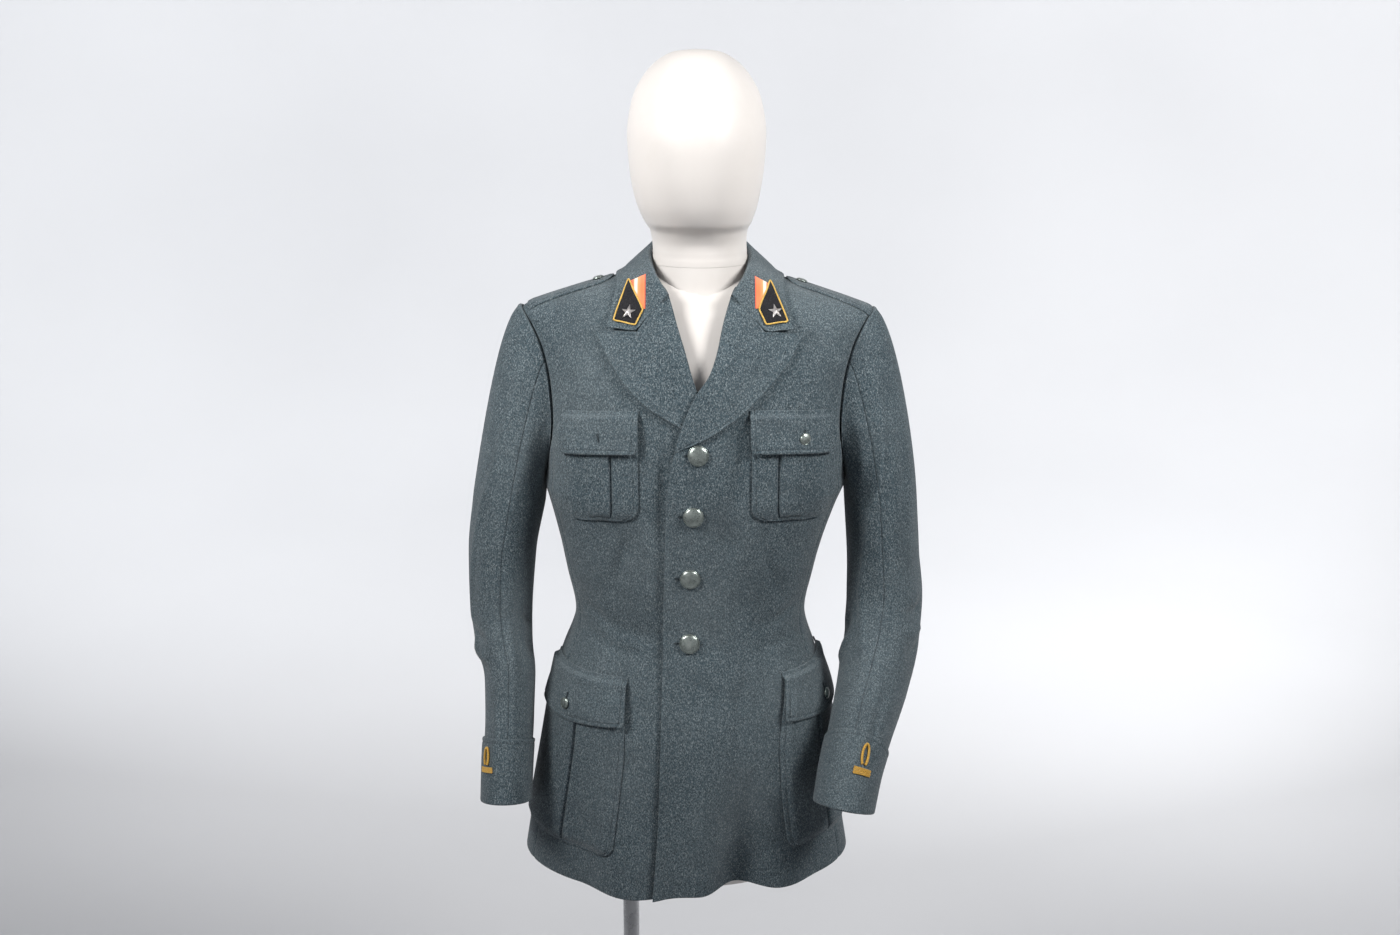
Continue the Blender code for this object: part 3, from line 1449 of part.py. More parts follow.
def tunic():
    for word, side in SIDES.items():
        front("front_" + word, side)
        side_panel("side_" + word, side)
        back("back_" + word, side)
        sleeve_piece("sleeve_under_" + word, side, UNDER_FROM, UNDER_TO)
        sleeve_piece("sleeve_upper_" + word, side, UNDER_TO, UNDER_FROM + AROUND)
        cuff("cuff_" + word, side)
        lapel("lapel_" + word, side)
        collar_insignia(word, side)
        chest_pocket(word)
        chest_flap(word)
        lower_pocket(word)
        lower_flap(word)
        strap(word, side)
        cuff_braid(word, side)
    collar("collar")
    front_buttons()
    small_buttons()


tunic()
form_torso()
form_head()
stand()
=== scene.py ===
import math

import bmesh
import bpy
import numpy as np
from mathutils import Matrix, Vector
from mathutils.bvhtree import BVHTree


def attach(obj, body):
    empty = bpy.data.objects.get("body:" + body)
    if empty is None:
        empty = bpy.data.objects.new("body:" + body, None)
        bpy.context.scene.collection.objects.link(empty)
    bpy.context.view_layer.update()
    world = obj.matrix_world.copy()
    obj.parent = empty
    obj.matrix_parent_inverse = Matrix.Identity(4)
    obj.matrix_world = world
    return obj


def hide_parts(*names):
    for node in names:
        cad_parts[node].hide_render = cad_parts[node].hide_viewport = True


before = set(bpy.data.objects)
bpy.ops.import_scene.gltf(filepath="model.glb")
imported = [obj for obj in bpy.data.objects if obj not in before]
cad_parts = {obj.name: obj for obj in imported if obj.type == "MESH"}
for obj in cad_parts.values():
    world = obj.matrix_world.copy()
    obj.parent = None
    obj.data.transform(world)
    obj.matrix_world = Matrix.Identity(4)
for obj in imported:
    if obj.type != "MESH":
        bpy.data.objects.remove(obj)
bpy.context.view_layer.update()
sides = {"right": -1, "left": 1}

# Cloth walls and the small openings between pieces.
wool = {
    "wall": 0.0020, "lay": 0.0008, "thin": 0.0012,
    "edgeRadius": 0.0022, "edgeLeft": 0.30, "seamRadius": 0.0014, "seamDip": 0.0008, "seamReach": 0.0034,
    "seamUnder": 0.0009, "seamLeft": 0.4, "dipInside": 0.5,
}
armpitZ, ridgeLevel, shoulderRound = 1.215, 1.440, 2.3

# The trunk by height: half width, reach to the front and back, middle, squareness.
trunk = {
    "z": [0.698, 0.760, 0.814, 0.900, 0.973, 1.043, 1.100, 1.1386, 1.190, 1.215],
    "half": [0.2190, 0.2085, 0.1985, 0.1850, 0.1705, 0.1500, 0.1605, 0.1690, 0.1840, 0.1930],
    "front": [0.152, 0.152, 0.151, 0.147, 0.134, 0.122, 0.126, 0.130, 0.135, 0.137],
    "back": [0.152, 0.152, 0.151, 0.146, 0.126, 0.106, 0.112, 0.119, 0.127, 0.131],
    "middle": [-0.0185, -0.0185, -0.0175, -0.0150, -0.0148, -0.0128, -0.0125, -0.0112, -0.0085, -0.0065],
    "square": [1.92, 2.05, 2.20, 2.30, 2.40, 2.40, 2.40, 2.40, 2.40, 2.40],
}
# Above the armpits, by the share of the way up to the shoulder seam.
yoke = {
    "rise": [0.00, 0.15, 0.38, 0.55, 0.75, 0.88, 1.00],
    "half": [0.1930, 0.1860, 0.1790, 0.1815, 0.1915, 0.2040, 0.2190],
    "sweep": [90.0, 76.0, 68.0, 67.0, 67.0, 67.0, 67.0],
    "middle": [-0.0065, -0.0055, -0.0045, -0.0040, -0.0035, -0.0035, -0.0035],
}
shoulder = {
    "reach": [0.000, 0.060, 0.080, 0.105, 0.150, 0.190, 0.225, 0.250],
    "z": [1.5150, 1.4970, 1.4860, 1.4748, 1.4605, 1.4475, 1.4350, 1.4245],
    "tilt": 0.014,
}
# The large folds: face, upper x and z, lower x and z, half width, height above and below.
largeFolds = [
    ("front", 0.052, 0.900, 0.050, 0.690, 0.052, 0.000, -0.034),
    ("front", -0.085, 0.900, -0.090, 0.690, 0.070, 0.004, 0.020),
    ("front", 0.118, 0.860, 0.112, 0.690, 0.045, 0.000, 0.008),
    ("front", 0.045, 1.300, 0.040, 1.180, 0.022, -0.003, -0.005),
    ("front", 0.075, 1.160, 0.088, 0.990, 0.020, -0.003, -0.003),
    ("front", -0.096, 1.160, -0.105, 0.990, 0.020, -0.003, -0.003),
    ("back", -0.075, 0.900, -0.090, 0.690, 0.050, 0.000, -0.014),
    ("back", 0.060, 0.920, 0.075, 0.690, 0.055, 0.000, -0.018),
    ("back", -0.010, 0.900, -0.010, 0.690, 0.050, 0.000, 0.010),
]
# Creases of the trunk's faces: half width, height, then the path's points by x and z.
creases = {
    "front": [
        (0.013, -0.0022, -0.158, 1.075, -0.105, 1.045, -0.050, 1.035),
        (0.010, -0.0016, -0.150, 1.040, -0.110, 1.018, -0.065, 1.012),
        (0.009, 0.0012, -0.150, 1.058, -0.105, 1.032, -0.065, 1.024),
        (0.012, -0.0022, 0.135, 1.075, 0.095, 1.052, 0.050, 1.046),
        (0.010, -0.0016, 0.125, 1.035, 0.095, 1.020, 0.060, 1.016),
        (0.010, -0.0022, 0.076, 1.150, 0.092, 1.115, 0.104, 1.070),
        (0.013, -0.0044, -0.052, 1.310, -0.043, 1.240, -0.047, 1.140),
        (0.015, 0.0034, -0.068, 1.200, -0.060, 1.140, -0.066, 1.060),
        (0.012, -0.0040, 0.040, 1.325, 0.047, 1.270, 0.042, 1.200),
        (0.018, -0.0044, 0.034, 1.190, 0.050, 1.120, 0.054, 1.040),
        (0.015, 0.0030, 0.062, 1.200, 0.074, 1.130, 0.080, 1.070),
        (0.015, -0.0034, -0.085, 1.180, -0.102, 1.130, -0.116, 1.080),
        (0.020, 0.0034, -0.048, 0.990, -0.054, 0.900, -0.058, 0.800),
        (0.018, -0.0034, 0.046, 1.000, 0.052, 0.930, 0.048, 0.850),
        (0.014, -0.0020, -0.050, 1.270, -0.056, 1.180, -0.060, 1.080),
        (0.018, 0.0018, -0.105, 1.430, -0.130, 1.380, -0.152, 1.325),
        (0.018, 0.0018, 0.105, 1.430, 0.132, 1.380, 0.152, 1.325),
        (0.026, 0.0018, 0.018, 0.980, 0.008, 0.880, 0.000, 0.770),
        (0.018, -0.0014, -0.020, 1.010, -0.018, 0.930, -0.015, 0.850),
        (0.016, 0.0020, 0.088, 0.910, 0.080, 0.850, 0.075, 0.780),
    ],
    "back": [
        (0.014, -0.0028, -0.135, 1.090, -0.080, 1.060, -0.010, 1.055),
        (0.014, -0.0028, 0.128, 1.092, 0.070, 1.064, 0.005, 1.058),
        (0.010, -0.0020, -0.120, 1.045, -0.060, 1.028, -0.008, 1.026),
        (0.010, -0.0020, 0.112, 1.042, 0.060, 1.022, 0.012, 1.018),
        (0.010, 0.0016, -0.115, 1.068, -0.060, 1.044, -0.015, 1.040),
        (0.022, 0.0026, -0.140, 1.350, -0.120, 1.260, -0.100, 1.170),
        (0.022, 0.0026, 0.136, 1.350, 0.120, 1.260, 0.100, 1.180),
        (0.014, -0.0018, -0.065, 1.445, 0.000, 1.436, 0.065, 1.442),
        (0.022, -0.0018, -0.030, 1.310, -0.040, 1.210, -0.045, 1.110),
        (0.018, -0.0016, 0.045, 1.270, 0.040, 1.190, 0.035, 1.100),
        (0.020, 0.0020, -0.120, 0.960, -0.125, 0.860, -0.135, 0.760),
        (0.020, 0.0020, 0.110, 0.960, 0.118, 0.860, 0.125, 0.770),
    ],
}
frontEdge = {
    "z": [0.698, 0.800, 0.900, 1.040, 1.150, 1.215],
    "left": [-0.0580, -0.0520, -0.0490, -0.0460, -0.0430, -0.0410],
    "right": [0.0150, 0.0200, 0.0230, 0.0260, 0.0280, 0.0285],
}
rollLine = {
    "rise": [0.000, 0.170, 0.256, 0.356, 0.430, 0.520, 0.620, 0.725, 0.815, 0.863, 0.925, 0.967, 1.000],
    "left": [-0.0410, -0.0345, -0.0263, -0.0155, -0.0048, 0.0119, 0.0220, 0.0287, 0.0360, 0.0405,
             0.0508, 0.0590, 0.0670],
    "right": [0.0285, 0.0260, 0.0200, 0.0100, -0.0015, -0.0107, -0.0191, -0.0287, -0.0360, -0.0409,
              -0.0532, -0.0590, -0.0670],
}
neckHole = {"half": 0.068, "back": 0.064}
foldFade = 0.045
# The left front's lift over the right one: all along, more at the chest and the skirt, and
# fading out above the lapels' start and to the wearer's left.
lap = {
    "all": 0.0030, "chest": 0.0032, "chestFrom": 1.16, "chestOver": 0.09, "skirt": 0.0020, "skirtFrom": 0.95,
    "skirtOver": 0.25, "topZ": 1.365, "topOver": 0.05, "sideX": 0.031, "sideOver": 0.045,
}


def hermite(t, start, leave, end, arrive):
    # A smooth path from start to end that leaves and arrives in the given directions.
    path = (1 + 2 * t) * (1 - t) ** 2 * start + t * (1 - t) ** 2 * leave
    return path + t * t * (3 - 2 * t) * end - t * t * (1 - t) * arrive


def curveThrough(places, values, at):
    # A smooth curve that doesn't swing past its values.
    places, values = np.asarray(places, float), np.asarray(values, float)
    at = np.clip(at, places[0], places[-1])
    i = np.clip(np.searchsorted(places, at, "right") - 1, 0, len(places) - 2)
    width = np.diff(places)
    slope = np.diff(values) / width
    lean = np.zeros(len(places))
    lean[0], lean[-1] = slope[0], slope[-1]
    before, after = slope[:-1], slope[1:]
    alike = before * after > 0
    lean[1:-1] = np.where(alike, 2 * before * after / np.where(alike, before + after, 1.0), 0.0)
    t = (at - places[i]) / width[i]
    return hermite(t, values[i], width[i] * lean[i], values[i + 1], width[i] * lean[i + 1])


def ease(t):
    t = np.clip(t, 0.0, 1.0)
    return t * t * (3 - 2 * t)


def stack(x, y, z):
    return np.stack(np.broadcast_arrays(x, y, z), axis=-1).astype(float)


def lengthOf(v):
    return np.linalg.norm(v, axis=-1, keepdims=True)


def unit(v):
    return v / np.maximum(lengthOf(v), 1e-12)


def dot(a, b):
    return (a * b).sum(axis=-1)


def shoulderZ(x):
    return curveThrough(shoulder["reach"], shoulder["z"], np.abs(x)) - shoulder["tilt"] * x


def turnOf(level):
    return math.pi / 2 * (level - armpitZ) / (ridgeLevel - armpitZ)


def riseOf(level):
    return np.abs(np.sin(np.maximum(turnOf(level), 0.0))) ** (2 / shoulderRound)


def levelOf(rise):
    turn = np.arcsin(np.clip(rise, 0.0, 1.0) ** (shoulderRound / 2))
    return armpitZ + (ridgeLevel - armpitZ) * turn / (math.pi / 2)


def trunkValue(name, z):
    return curveThrough(trunk["z"], trunk[name], z)


def yokeValue(name, rise):
    return curveThrough(yoke["rise"], yoke[name], rise)


def armholeSweep(level):
    return np.where(level <= armpitZ, math.pi / 2, np.radians(yokeValue("sweep", riseOf(level))))


def fullHalf(rise):
    return yokeValue("half", rise) / np.sin(np.radians(yokeValue("sweep", rise)))


def trunkSpan(low, z, rise):
    # The middle and half width: by height where it is low, and above the armpits by rise.
    middle = np.where(low, trunkValue("middle", z), yokeValue("middle", rise))
    return middle, np.where(low, trunkValue("half", z), fullHalf(rise))


def ovalReach(across, ahead, front, back, square):
    # How far a squared oval reaches to the front, at -Y, and to the back.
    depth = np.where(ahead >= 0, -front, back)
    return depth * np.maximum(1 - np.abs(across) ** square, 0.0) ** (1 / square)


def trunkPoint(sweep, level):
    # The outer face: sweep runs round from the front, level up to the shoulder seam.
    across, ahead = np.sin(sweep), np.cos(sweep)
    below = level <= armpitZ
    turn = np.where(below, 0.0, turnOf(level))
    rise = riseOf(level)
    middle, half = trunkSpan(below, level, rise)
    x = middle + half * across
    z = np.where(below, level, armpitZ + rise * (shoulderZ(x) - armpitZ))
    held = np.minimum(level, armpitZ)
    front, back, square = [trunkValue(name, held) for name in ("front", "back", "square")]
    close = np.copysign(np.abs(np.cos(turn)) ** (2 / shoulderRound), np.cos(turn))
    return stack(x, ovalReach(across, ahead, front, back, square) * close, z)


def normalOn(place, u, v, stepU=0.004, stepV=0.0015):
    alongU = place(u + stepU, v) - place(u - stepU, v)
    alongV = place(u, v + stepV) - place(u, v - stepV)
    return unit(np.cross(alongU, alongV))


pathFade = 0.30


def ridges(table, x, z):
    # Soft troughs and ridges along paths, fading out at both ends. An entry is its half
    # width, its height and then the path's points, each by x and z.
    x, z = np.broadcast_arrays(x, z)
    height = np.zeros(x.shape)
    for reach, tall, *path in table:
        knots = np.array(path).reshape(-1, 2)
        total = np.linalg.norm(np.diff(knots, axis=0), axis=1).sum()
        nearest, share = np.full(x.shape, 9.0), np.zeros(x.shape)
        done = 0.0
        for start, end in zip(knots[:-1], knots[1:]):
            step = end - start
            long = np.linalg.norm(step)
            t = np.clip(((x - start[0]) * step[0] + (z - start[1]) * step[1]) / long ** 2, 0, 1)
            away = np.hypot(x - start[0] - t * step[0], z - start[1] - t * step[1])
            share = np.where(away < nearest, (done + t * long) / total, share)
            nearest = np.minimum(nearest, away)
            done += long
        height = height + tall * bell(nearest, reach) * ease(share / pathFade) * ease((1 - share) / pathFade)
    return height


def hump(distance, reach):
    return np.exp(-(distance / reach) ** 2)


def bell(distance, reach):
    return np.cos(np.minimum(distance / reach, 1.0) * math.pi / 2) ** 2


def foldHeight(x, z, face):
    height = np.zeros(np.broadcast(x, z).shape)
    for where, upperX, upperZ, lowerX, lowerZ, reach, upper, lower in largeFolds:
        share = (upperZ - z) / (upperZ - lowerZ)
        held = np.clip(share, 0.0, 1.0)
        middle = upperX + (lowerX - upperX) * held
        past = np.maximum(np.maximum(share - 1.0, -share), 0.0) * (upperZ - lowerZ)
        tall = upper + (lower - upper) * ease(held)
        shown = bell(np.abs(x - middle), reach) * (1 - ease(past / foldFade))
        height = height + np.where(face == where, shown * tall, 0.0)
    for where, table in creases.items():
        if (face == where).any():
            height = height + np.where(face == where, ridges(table, x, z), 0.0)
    return height


def lapLift(x, z):
    chest = lap["chest"] * ease((z - lap["chestFrom"]) / lap["chestOver"])
    skirt = lap["skirt"] * ease((lap["skirtFrom"] - z) / lap["skirtOver"])
    lift = lap["all"] + np.maximum(chest, skirt)
    lift = lift * (1 - ease((z - lap["topZ"]) / lap["topOver"]))
    return lift * (1 - ease((x - lap["sideX"]) / lap["sideOver"]))


def clothPoint(sweep, level, out=0.0, lapped=False):
    point = trunkPoint(sweep, level)
    normal = normalOn(trunkPoint, sweep, level)
    face = np.where(np.cos(sweep) >= 0, "front", "back")
    height = out + foldHeight(point[..., 0], point[..., 2], face)
    if lapped:
        height = height + lapLift(point[..., 0], point[..., 2])
    return point + normal * np.asarray(height)[..., None]


def placeOnFront(x, z):
    x, z = np.broadcast_arrays(np.asarray(x, float), np.asarray(z, float))
    rise = np.clip((z - armpitZ) / (shoulderZ(x) - armpitZ), 0.0, 1.0)
    low = z <= armpitZ
    middle, half = trunkSpan(low, z, rise)
    return np.arcsin(np.clip((x - middle) / half, -0.999, 0.999)), np.where(low, z, levelOf(rise))


def onFront(x, z, out, lapped):
    sweep, level = placeOnFront(x, z)
    return clothPoint(sweep, level, out, lapped)


def sweepAt(x, level):
    middle, half = trunkSpan(level <= armpitZ, level, riseOf(level))
    return np.arcsin(np.clip((x - middle) / half, -1.0, 1.0))


def rollX(word, level):
    # Where the front's own edge lies: below the armpits its plain edge, above them the lapel's roll.
    below = curveThrough(frontEdge["z"], frontEdge[word], level)
    above = curveThrough(rollLine["rise"], rollLine[word], riseOf(level))
    return np.where(level <= armpitZ, below, above)


def halving(low, high, isBelow):
    # The highest place between low and high that is still below.
    for _ in range(32):
        middle = (low + high) / 2
        below = isBelow(middle)
        low, high = np.where(below, middle, low), np.where(below, high, middle)
    return low


# Making meshes. Rows of points by their distance from an edge, and from a stitched edge.
edgeRows = (0.0, 0.0004, 0.0011, 0.0024)
sewnRows = edgeRows + (0.0043, 0.0052, 0.0060, 0.0068, 0.0077)


def stops(length, count, near=edgeRows):
    # Shares from 0 to 1, closer together at both ends.
    ends = [n / length for n in near]
    between = np.linspace(ends[-1], 1 - ends[-1], count)[1:-1]
    return np.array(ends + list(between) + [1 - e for e in reversed(ends)])


def edgeRise(distance, radius=None):
    # The share of its wall that a sheet has near its edge, which is pressed thin.
    radius = radius or wool["edgeRadius"]
    t = np.clip(distance / radius, 0.0, 1.0)
    return wool["edgeLeft"] + (1 - wool["edgeLeft"]) * np.sqrt(np.maximum(1 - (1 - t) ** 2, 0.0))


def seamDip(distance):
    return -wool["seamDip"] * hump(distance, wool["seamReach"])


def addObject(name, data, material=None):
    made = bpy.data.objects.new(name, data)
    bpy.context.scene.collection.objects.link(made)
    if material:
        data.materials.append(material)
    return made


def smoothed(mesh, sharp):
    mesh.shade_smooth()
    mesh.set_sharp_from_angle(angle=math.radians(sharp))
    return mesh


def meshOf(name, points, faces, material, sharp=50):
    mesh = bpy.data.meshes.new(name)
    mesh.from_pydata([tuple(p) for p in points], [], [tuple(f) for f in faces])
    shape = bmesh.new()
    shape.from_mesh(mesh)
    bmesh.ops.recalc_face_normals(shape, faces=shape.faces)
    shape.to_mesh(mesh)
    shape.free()
    return addObject(name, smoothed(mesh, sharp), material)


def shellOf(name, outer, inner, material, ring=False, sharp=60):
    # A closed wall between two grids of points; in a ring the rows close on themselves.
    rows, across = outer.shape[:2]
    points = np.concatenate([outer.reshape(-1, 3), inner.reshape(-1, 3)])
    back = rows * across
    index = np.arange(back).reshape(rows, across)
    borders = [index[0], index[-1, ::-1]]
    if not ring:
        borders = [np.concatenate([index[0, :-1], index[:-1, -1], index[-1, :0:-1], index[:0:-1, 0]])]
    after = np.roll(index, -1, axis=1)
    if not ring:
        index, after = index[:, :-1], after[:, :-1]
    a, b, c, d = index[:-1], after[:-1], after[1:], index[1:]
    quads = [np.stack([a, b, c, d], -1).reshape(-1, 4), np.stack([d, c, b, a], -1).reshape(-1, 4) + back]
    for here in borders:
        there = np.roll(here, -1)
        quads.append(np.stack([there, here, here + back, there + back], -1))
    return meshOf(name, points, np.concatenate(quads), material, sharp)


def ringFaces(count, around, start=0, closed=False):
    # The faces between rings of points that follow one another.
    faces = []
    for row in range(count if closed else count - 1):
        low, high = start + row * around, start + (row + 1) % count * around
        faces += [(low + k, low + (k + 1) % around, high + (k + 1) % around, high + k) for k in range(around)]
    return faces


def lofted(name, rings, material, sharp=60, ends=None):
    # A closed body through rings of points, shut at both ends round a middle point.
    rings = np.array(rings)
    count, around = rings.shape[:2]
    ends = ends or (rings[0].mean(axis=0), rings[-1].mean(axis=0))
    faces, last = ringFaces(count, around), (count - 1) * around
    for k in range(around):
        after = (k + 1) % around
        faces += [(k, after, count * around), (last + k, last + after, count * around + 1)]
    return meshOf(name, [*rings.reshape(-1, 3), *ends], faces, material, sharp)


def edgeDistances(points):
    # Each point's way to the left, right, lower and upper edge of its grid, whose letters
    # are l, r, b and t.
    across = np.linalg.norm(np.diff(points, axis=1), axis=-1)
    upward = np.linalg.norm(np.diff(points, axis=0), axis=-1)
    left = np.concatenate([np.zeros((len(points), 1)), np.cumsum(across, axis=1)], axis=1)
    bottom = np.concatenate([np.zeros((1, points.shape[1])), np.cumsum(upward, axis=0)], axis=0)
    return left, left[:, -1:] - left, bottom, bottom[-1:] - bottom


stitching = {"inset": 0.0060, "reach": 0.0010, "depth": 0.0007, "proud": 0.0001}
threadHeight = wool["wall"] - stitching["depth"] + stitching["proud"]
sewn = []


def stitchGroove(distance):
    return stitching["depth"] * hump(distance - stitching["inset"], stitching["reach"])


def addSewn(face, distances, letters):
    # Notes the paths of the stitches that run along the lettered edges of a face.
    inset = stitching["inset"]
    for letter, distance in zip("lrbt", distances):
        if letter not in letters:
            continue
        rest = [d for other, d in zip("lrbt", distances) if other in letters and other != letter]
        grid, far = face, distance
        if letter in "bt":
            grid, far, rest = face.transpose(1, 0, 2), distance.T, [d.T for d in rest]
        path = []
        for row in range(len(grid)):
            order = np.argsort(far[row])
            away = far[row][order]
            clear = min([np.interp(inset, away, d[row][order]) for d in rest], default=1.0)
            if clear >= inset:
                path.append([np.interp(inset, away, grid[row][order, axis]) for axis in range(3)])
        sewn.append(np.array(path))


# Where each lettered edge and the row just inside it are found in a grid.
edgePlaces = {"l": ((slice(None), 0), (slice(None), 2)), "r": ((slice(None), -1), (slice(None), -3)),
              "b": ((0,), (2,)), "t": ((-1,), (-3,))}


def seamUnder(face, seams):
    # At a seam the cloth's inner face goes on under its neighbour, so that no light gets through.
    made = face.copy()
    for letter in seams:
        edge, inside = edgePlaces[letter]
        made[edge] += unit(face[edge] - face[inside]) * wool["seamUnder"]
    return made


def cut(name, place, u, v, low, seams="", stitched="", relief=0.0, ring=False):
    # One piece of cloth on a surface place(u, v, out), with the letters of the edges that
    # are sewn to a neighbour and of those that are topstitched.
    wall, base = wool["wall"], place(u, v, 0.0)
    rise, dip = np.ones(u.shape), np.zeros(u.shape)
    for letter, distance in zip("lrbt", edgeDistances(base)):
        if letter in seams:
            dip = dip + seamDip(distance)
            kept = wool["seamLeft"]
            rise = np.minimum(rise, kept + (1 - kept) * edgeRise(distance, wool["seamRadius"]))
        elif not ring or letter in "bt":
            rise = np.minimum(rise, edgeRise(distance))
        if letter in stitched:
            dip = dip - stitchGroove(distance)
    outer = place(u, v, low + dip + relief + wall * rise)
    inner = seamUnder(place(u, v, low + dip * wool["dipInside"] + relief), seams)
    if stitched:
        addSewn(place(u, v, low + relief + threadHeight), edgeDistances(base), stitched)
    return shellOf(name, outer, inner, woolCloth, ring)


def onTrunk(lapped=False):
    return lambda sweep, level, out: clothPoint(sweep, level, out, lapped)


# The trunk's panels.
panelSizes = {
    "hem": 0.698, "lowRows": 84, "highRows": 46, "seamAngle": math.radians(70), "seamGap": 0.0015,
    "shoulderGap": 0.0010, "front": {"width": 0.24, "columns": 64}, "edgeLift": 0.0028, "liftReach": 0.016,
    "liftTop": 1.265, "liftOver": 0.03, "side": {"width": 0.14, "columns": 34}, "sideGap": 0.0004,
    "sideTop": (0.25, 0.5, 0.75, 0.9, 0.97, 1.0), "neck": {"width": 0.08, "columns": 22}, "neckGap": 0.0035,
    "neckDrop": 0.0012, "back": {"width": 0.15, "columns": 38},
}


def panelLevels():
    hem, top, near = panelSizes["hem"], ridgeLevel - panelSizes["shoulderGap"], edgeRows
    low = np.linspace(hem + near[-1], armpitZ, panelSizes["lowRows"])
    high = np.linspace(armpitZ, top - near[-1], panelSizes["highRows"])[1:]
    return np.concatenate([[hem + n for n in near[:-1]], low, high, [top - n for n in near[:-1][::-1]]])


def columnsOf(kind):
    return stops(panelSizes[kind]["width"], panelSizes[kind]["columns"])


def frontPanel(word, side):
    level = panelLevels()
    inner = sweepAt(rollX(word, level), level)
    outer = side * (np.minimum(panelSizes["seamAngle"], armholeSweep(level)) - panelSizes["seamGap"])
    share = columnsOf("front")[None, :]
    sweep = inner[:, None] + (outer - inner)[:, None] * share
    level = level[:, None] + 0 * sweep
    # the lapping edge stands off a little below the lapel
    lift = ease(1 - share * panelSizes["front"]["width"] / panelSizes["liftReach"])
    lift = panelSizes["edgeLift"] * lift * ease((panelSizes["liftTop"] - level) / panelSizes["liftOver"])
    return cut("front_cloth_" + word, onTrunk(side > 0), sweep, level, -wool["wall"], seams="rt",
               relief=lift * (side > 0))


def armholeEnd(sweep):
    # The level at which a sweep under the arm runs into the armhole.
    fold = np.where(sweep <= math.pi / 2, sweep, math.pi - sweep)
    return halving(armpitZ, ridgeLevel, lambda level: armholeSweep(level) > fold)


def sidePanel(word, side):
    start = panelSizes["seamAngle"] + panelSizes["seamGap"]
    sweep = start + (math.pi - 2 * start) * columnsOf("side")
    rows = panelLevels()
    rows = rows[rows <= armpitZ]
    top = armholeEnd(sweep) - panelSizes["sideGap"]
    high = [armpitZ + (top - armpitZ) * t for t in panelSizes["sideTop"]]
    level = np.concatenate([rows[:, None] + 0 * sweep[None, :], high])
    sweep = side * sweep[None, :] + 0 * level
    return cut("side_cloth_" + word, onTrunk(), sweep, level, -wool["wall"], seams="lrt")


def neckLevel(sweep):
    # The level at which the back's cloth comes to the edge of the neck hole.
    def isOutside(level):
        point = trunkPoint(sweep, level)
        room = np.maximum(1 - (point[..., 0] / neckHole["half"]) ** 2, 0.0)
        return point[..., 1] > neckHole["back"] * np.sqrt(room)

    return halving(armpitZ, ridgeLevel - panelSizes["neckDrop"], isOutside)


def backPanel(word, side):
    # Its columns run from the back seam to the neck hole's corner, and on to the side seam.
    level = panelLevels()
    corner = math.pi - math.asin((neckHole["half"] + panelSizes["neckGap"]) / fullHalf(1.0))
    edge = math.pi - np.minimum(panelSizes["seamAngle"], armholeSweep(level)) + panelSizes["seamGap"]
    near = columnsOf("neck")[:-3]
    start = math.pi - panelSizes["seamGap"]
    toCorner = start + (corner - start) * near / near[-1]
    beyond = columnsOf("back")[4:]
    sweep = np.array([list(toCorner) + list(corner + (e - corner) * beyond) for e in edge])
    share = np.clip((level - armpitZ) / (level[-1] - armpitZ), 0.0, 1.0)[:, None]
    reached = np.where(share <= 0, level[:, None], armpitZ + share * (neckLevel(sweep) - armpitZ))
    return cut("back_cloth_" + word, onTrunk(), side * sweep, reached, -wool["wall"], seams="lrt")


# The sleeves.
arms = {
    "right": {
        "x": [-0.2465, -0.2575, -0.2605, -0.2575, -0.2485, -0.2480, -0.2500, -0.2510],
        "y": [0.000, -0.002, -0.008, -0.020, -0.040, -0.062, -0.082, -0.100],
        "z": [1.190, 1.120, 1.050, 1.005, 0.955, 0.905, 0.855, 0.808],
        "halfWidth": [0.0465, 0.0435, 0.0403, 0.0370, 0.0325, 0.0310, 0.0305, 0.0300],
        "halfDepth": [0.080, 0.077, 0.072, 0.068, 0.064, 0.060, 0.058, 0.057],
    },
    "left": {
        "x": [0.2335, 0.2385, 0.2415, 0.2360, 0.2230, 0.2050, 0.1895, 0.1795],
        "y": [0.000, -0.002, -0.010, -0.032, -0.066, -0.108, -0.142, -0.168],
        "z": [1.190, 1.120, 1.060, 1.005, 0.955, 0.910, 0.870, 0.832],
        "halfWidth": [0.0465, 0.0465, 0.0490, 0.0490, 0.0460, 0.0410, 0.0380, 0.0365],
        "halfDepth": [0.080, 0.077, 0.073, 0.069, 0.065, 0.060, 0.057, 0.056],
    },
}
# "round" and "long" are the metres that creases take for the way round and down a sleeve.
sleeveSizes = {
    "rows": 120, "columns": 93.6, "underFrom": 5 / 18, "underTo": 12 / 18, "seamGap": 0.0009, "length": 0.60,
    "round": 0.40, "long": 0.42, "creaseDepth": 1.4, "puff": 0.0016, "puffAt": -0.955, "puffReach": 0.030,
    "slantFrom": 0.80, "headGap": 0.0006, "step": (0.01, 0.012),
}
# How far a sleeve's head leaves the armhole outward and down, and comes onto the arm: under
# the arm, and what the shoulder adds.
headPath = {"out": (0.012, 0.068), "down": 0.02, "arrive": (0.03, 0.22)}
# How far the front of each sleeve's mouth is cut lower than its middle, and its back higher.
mouthSlant = {"right": 0.002, "left": 0.014}
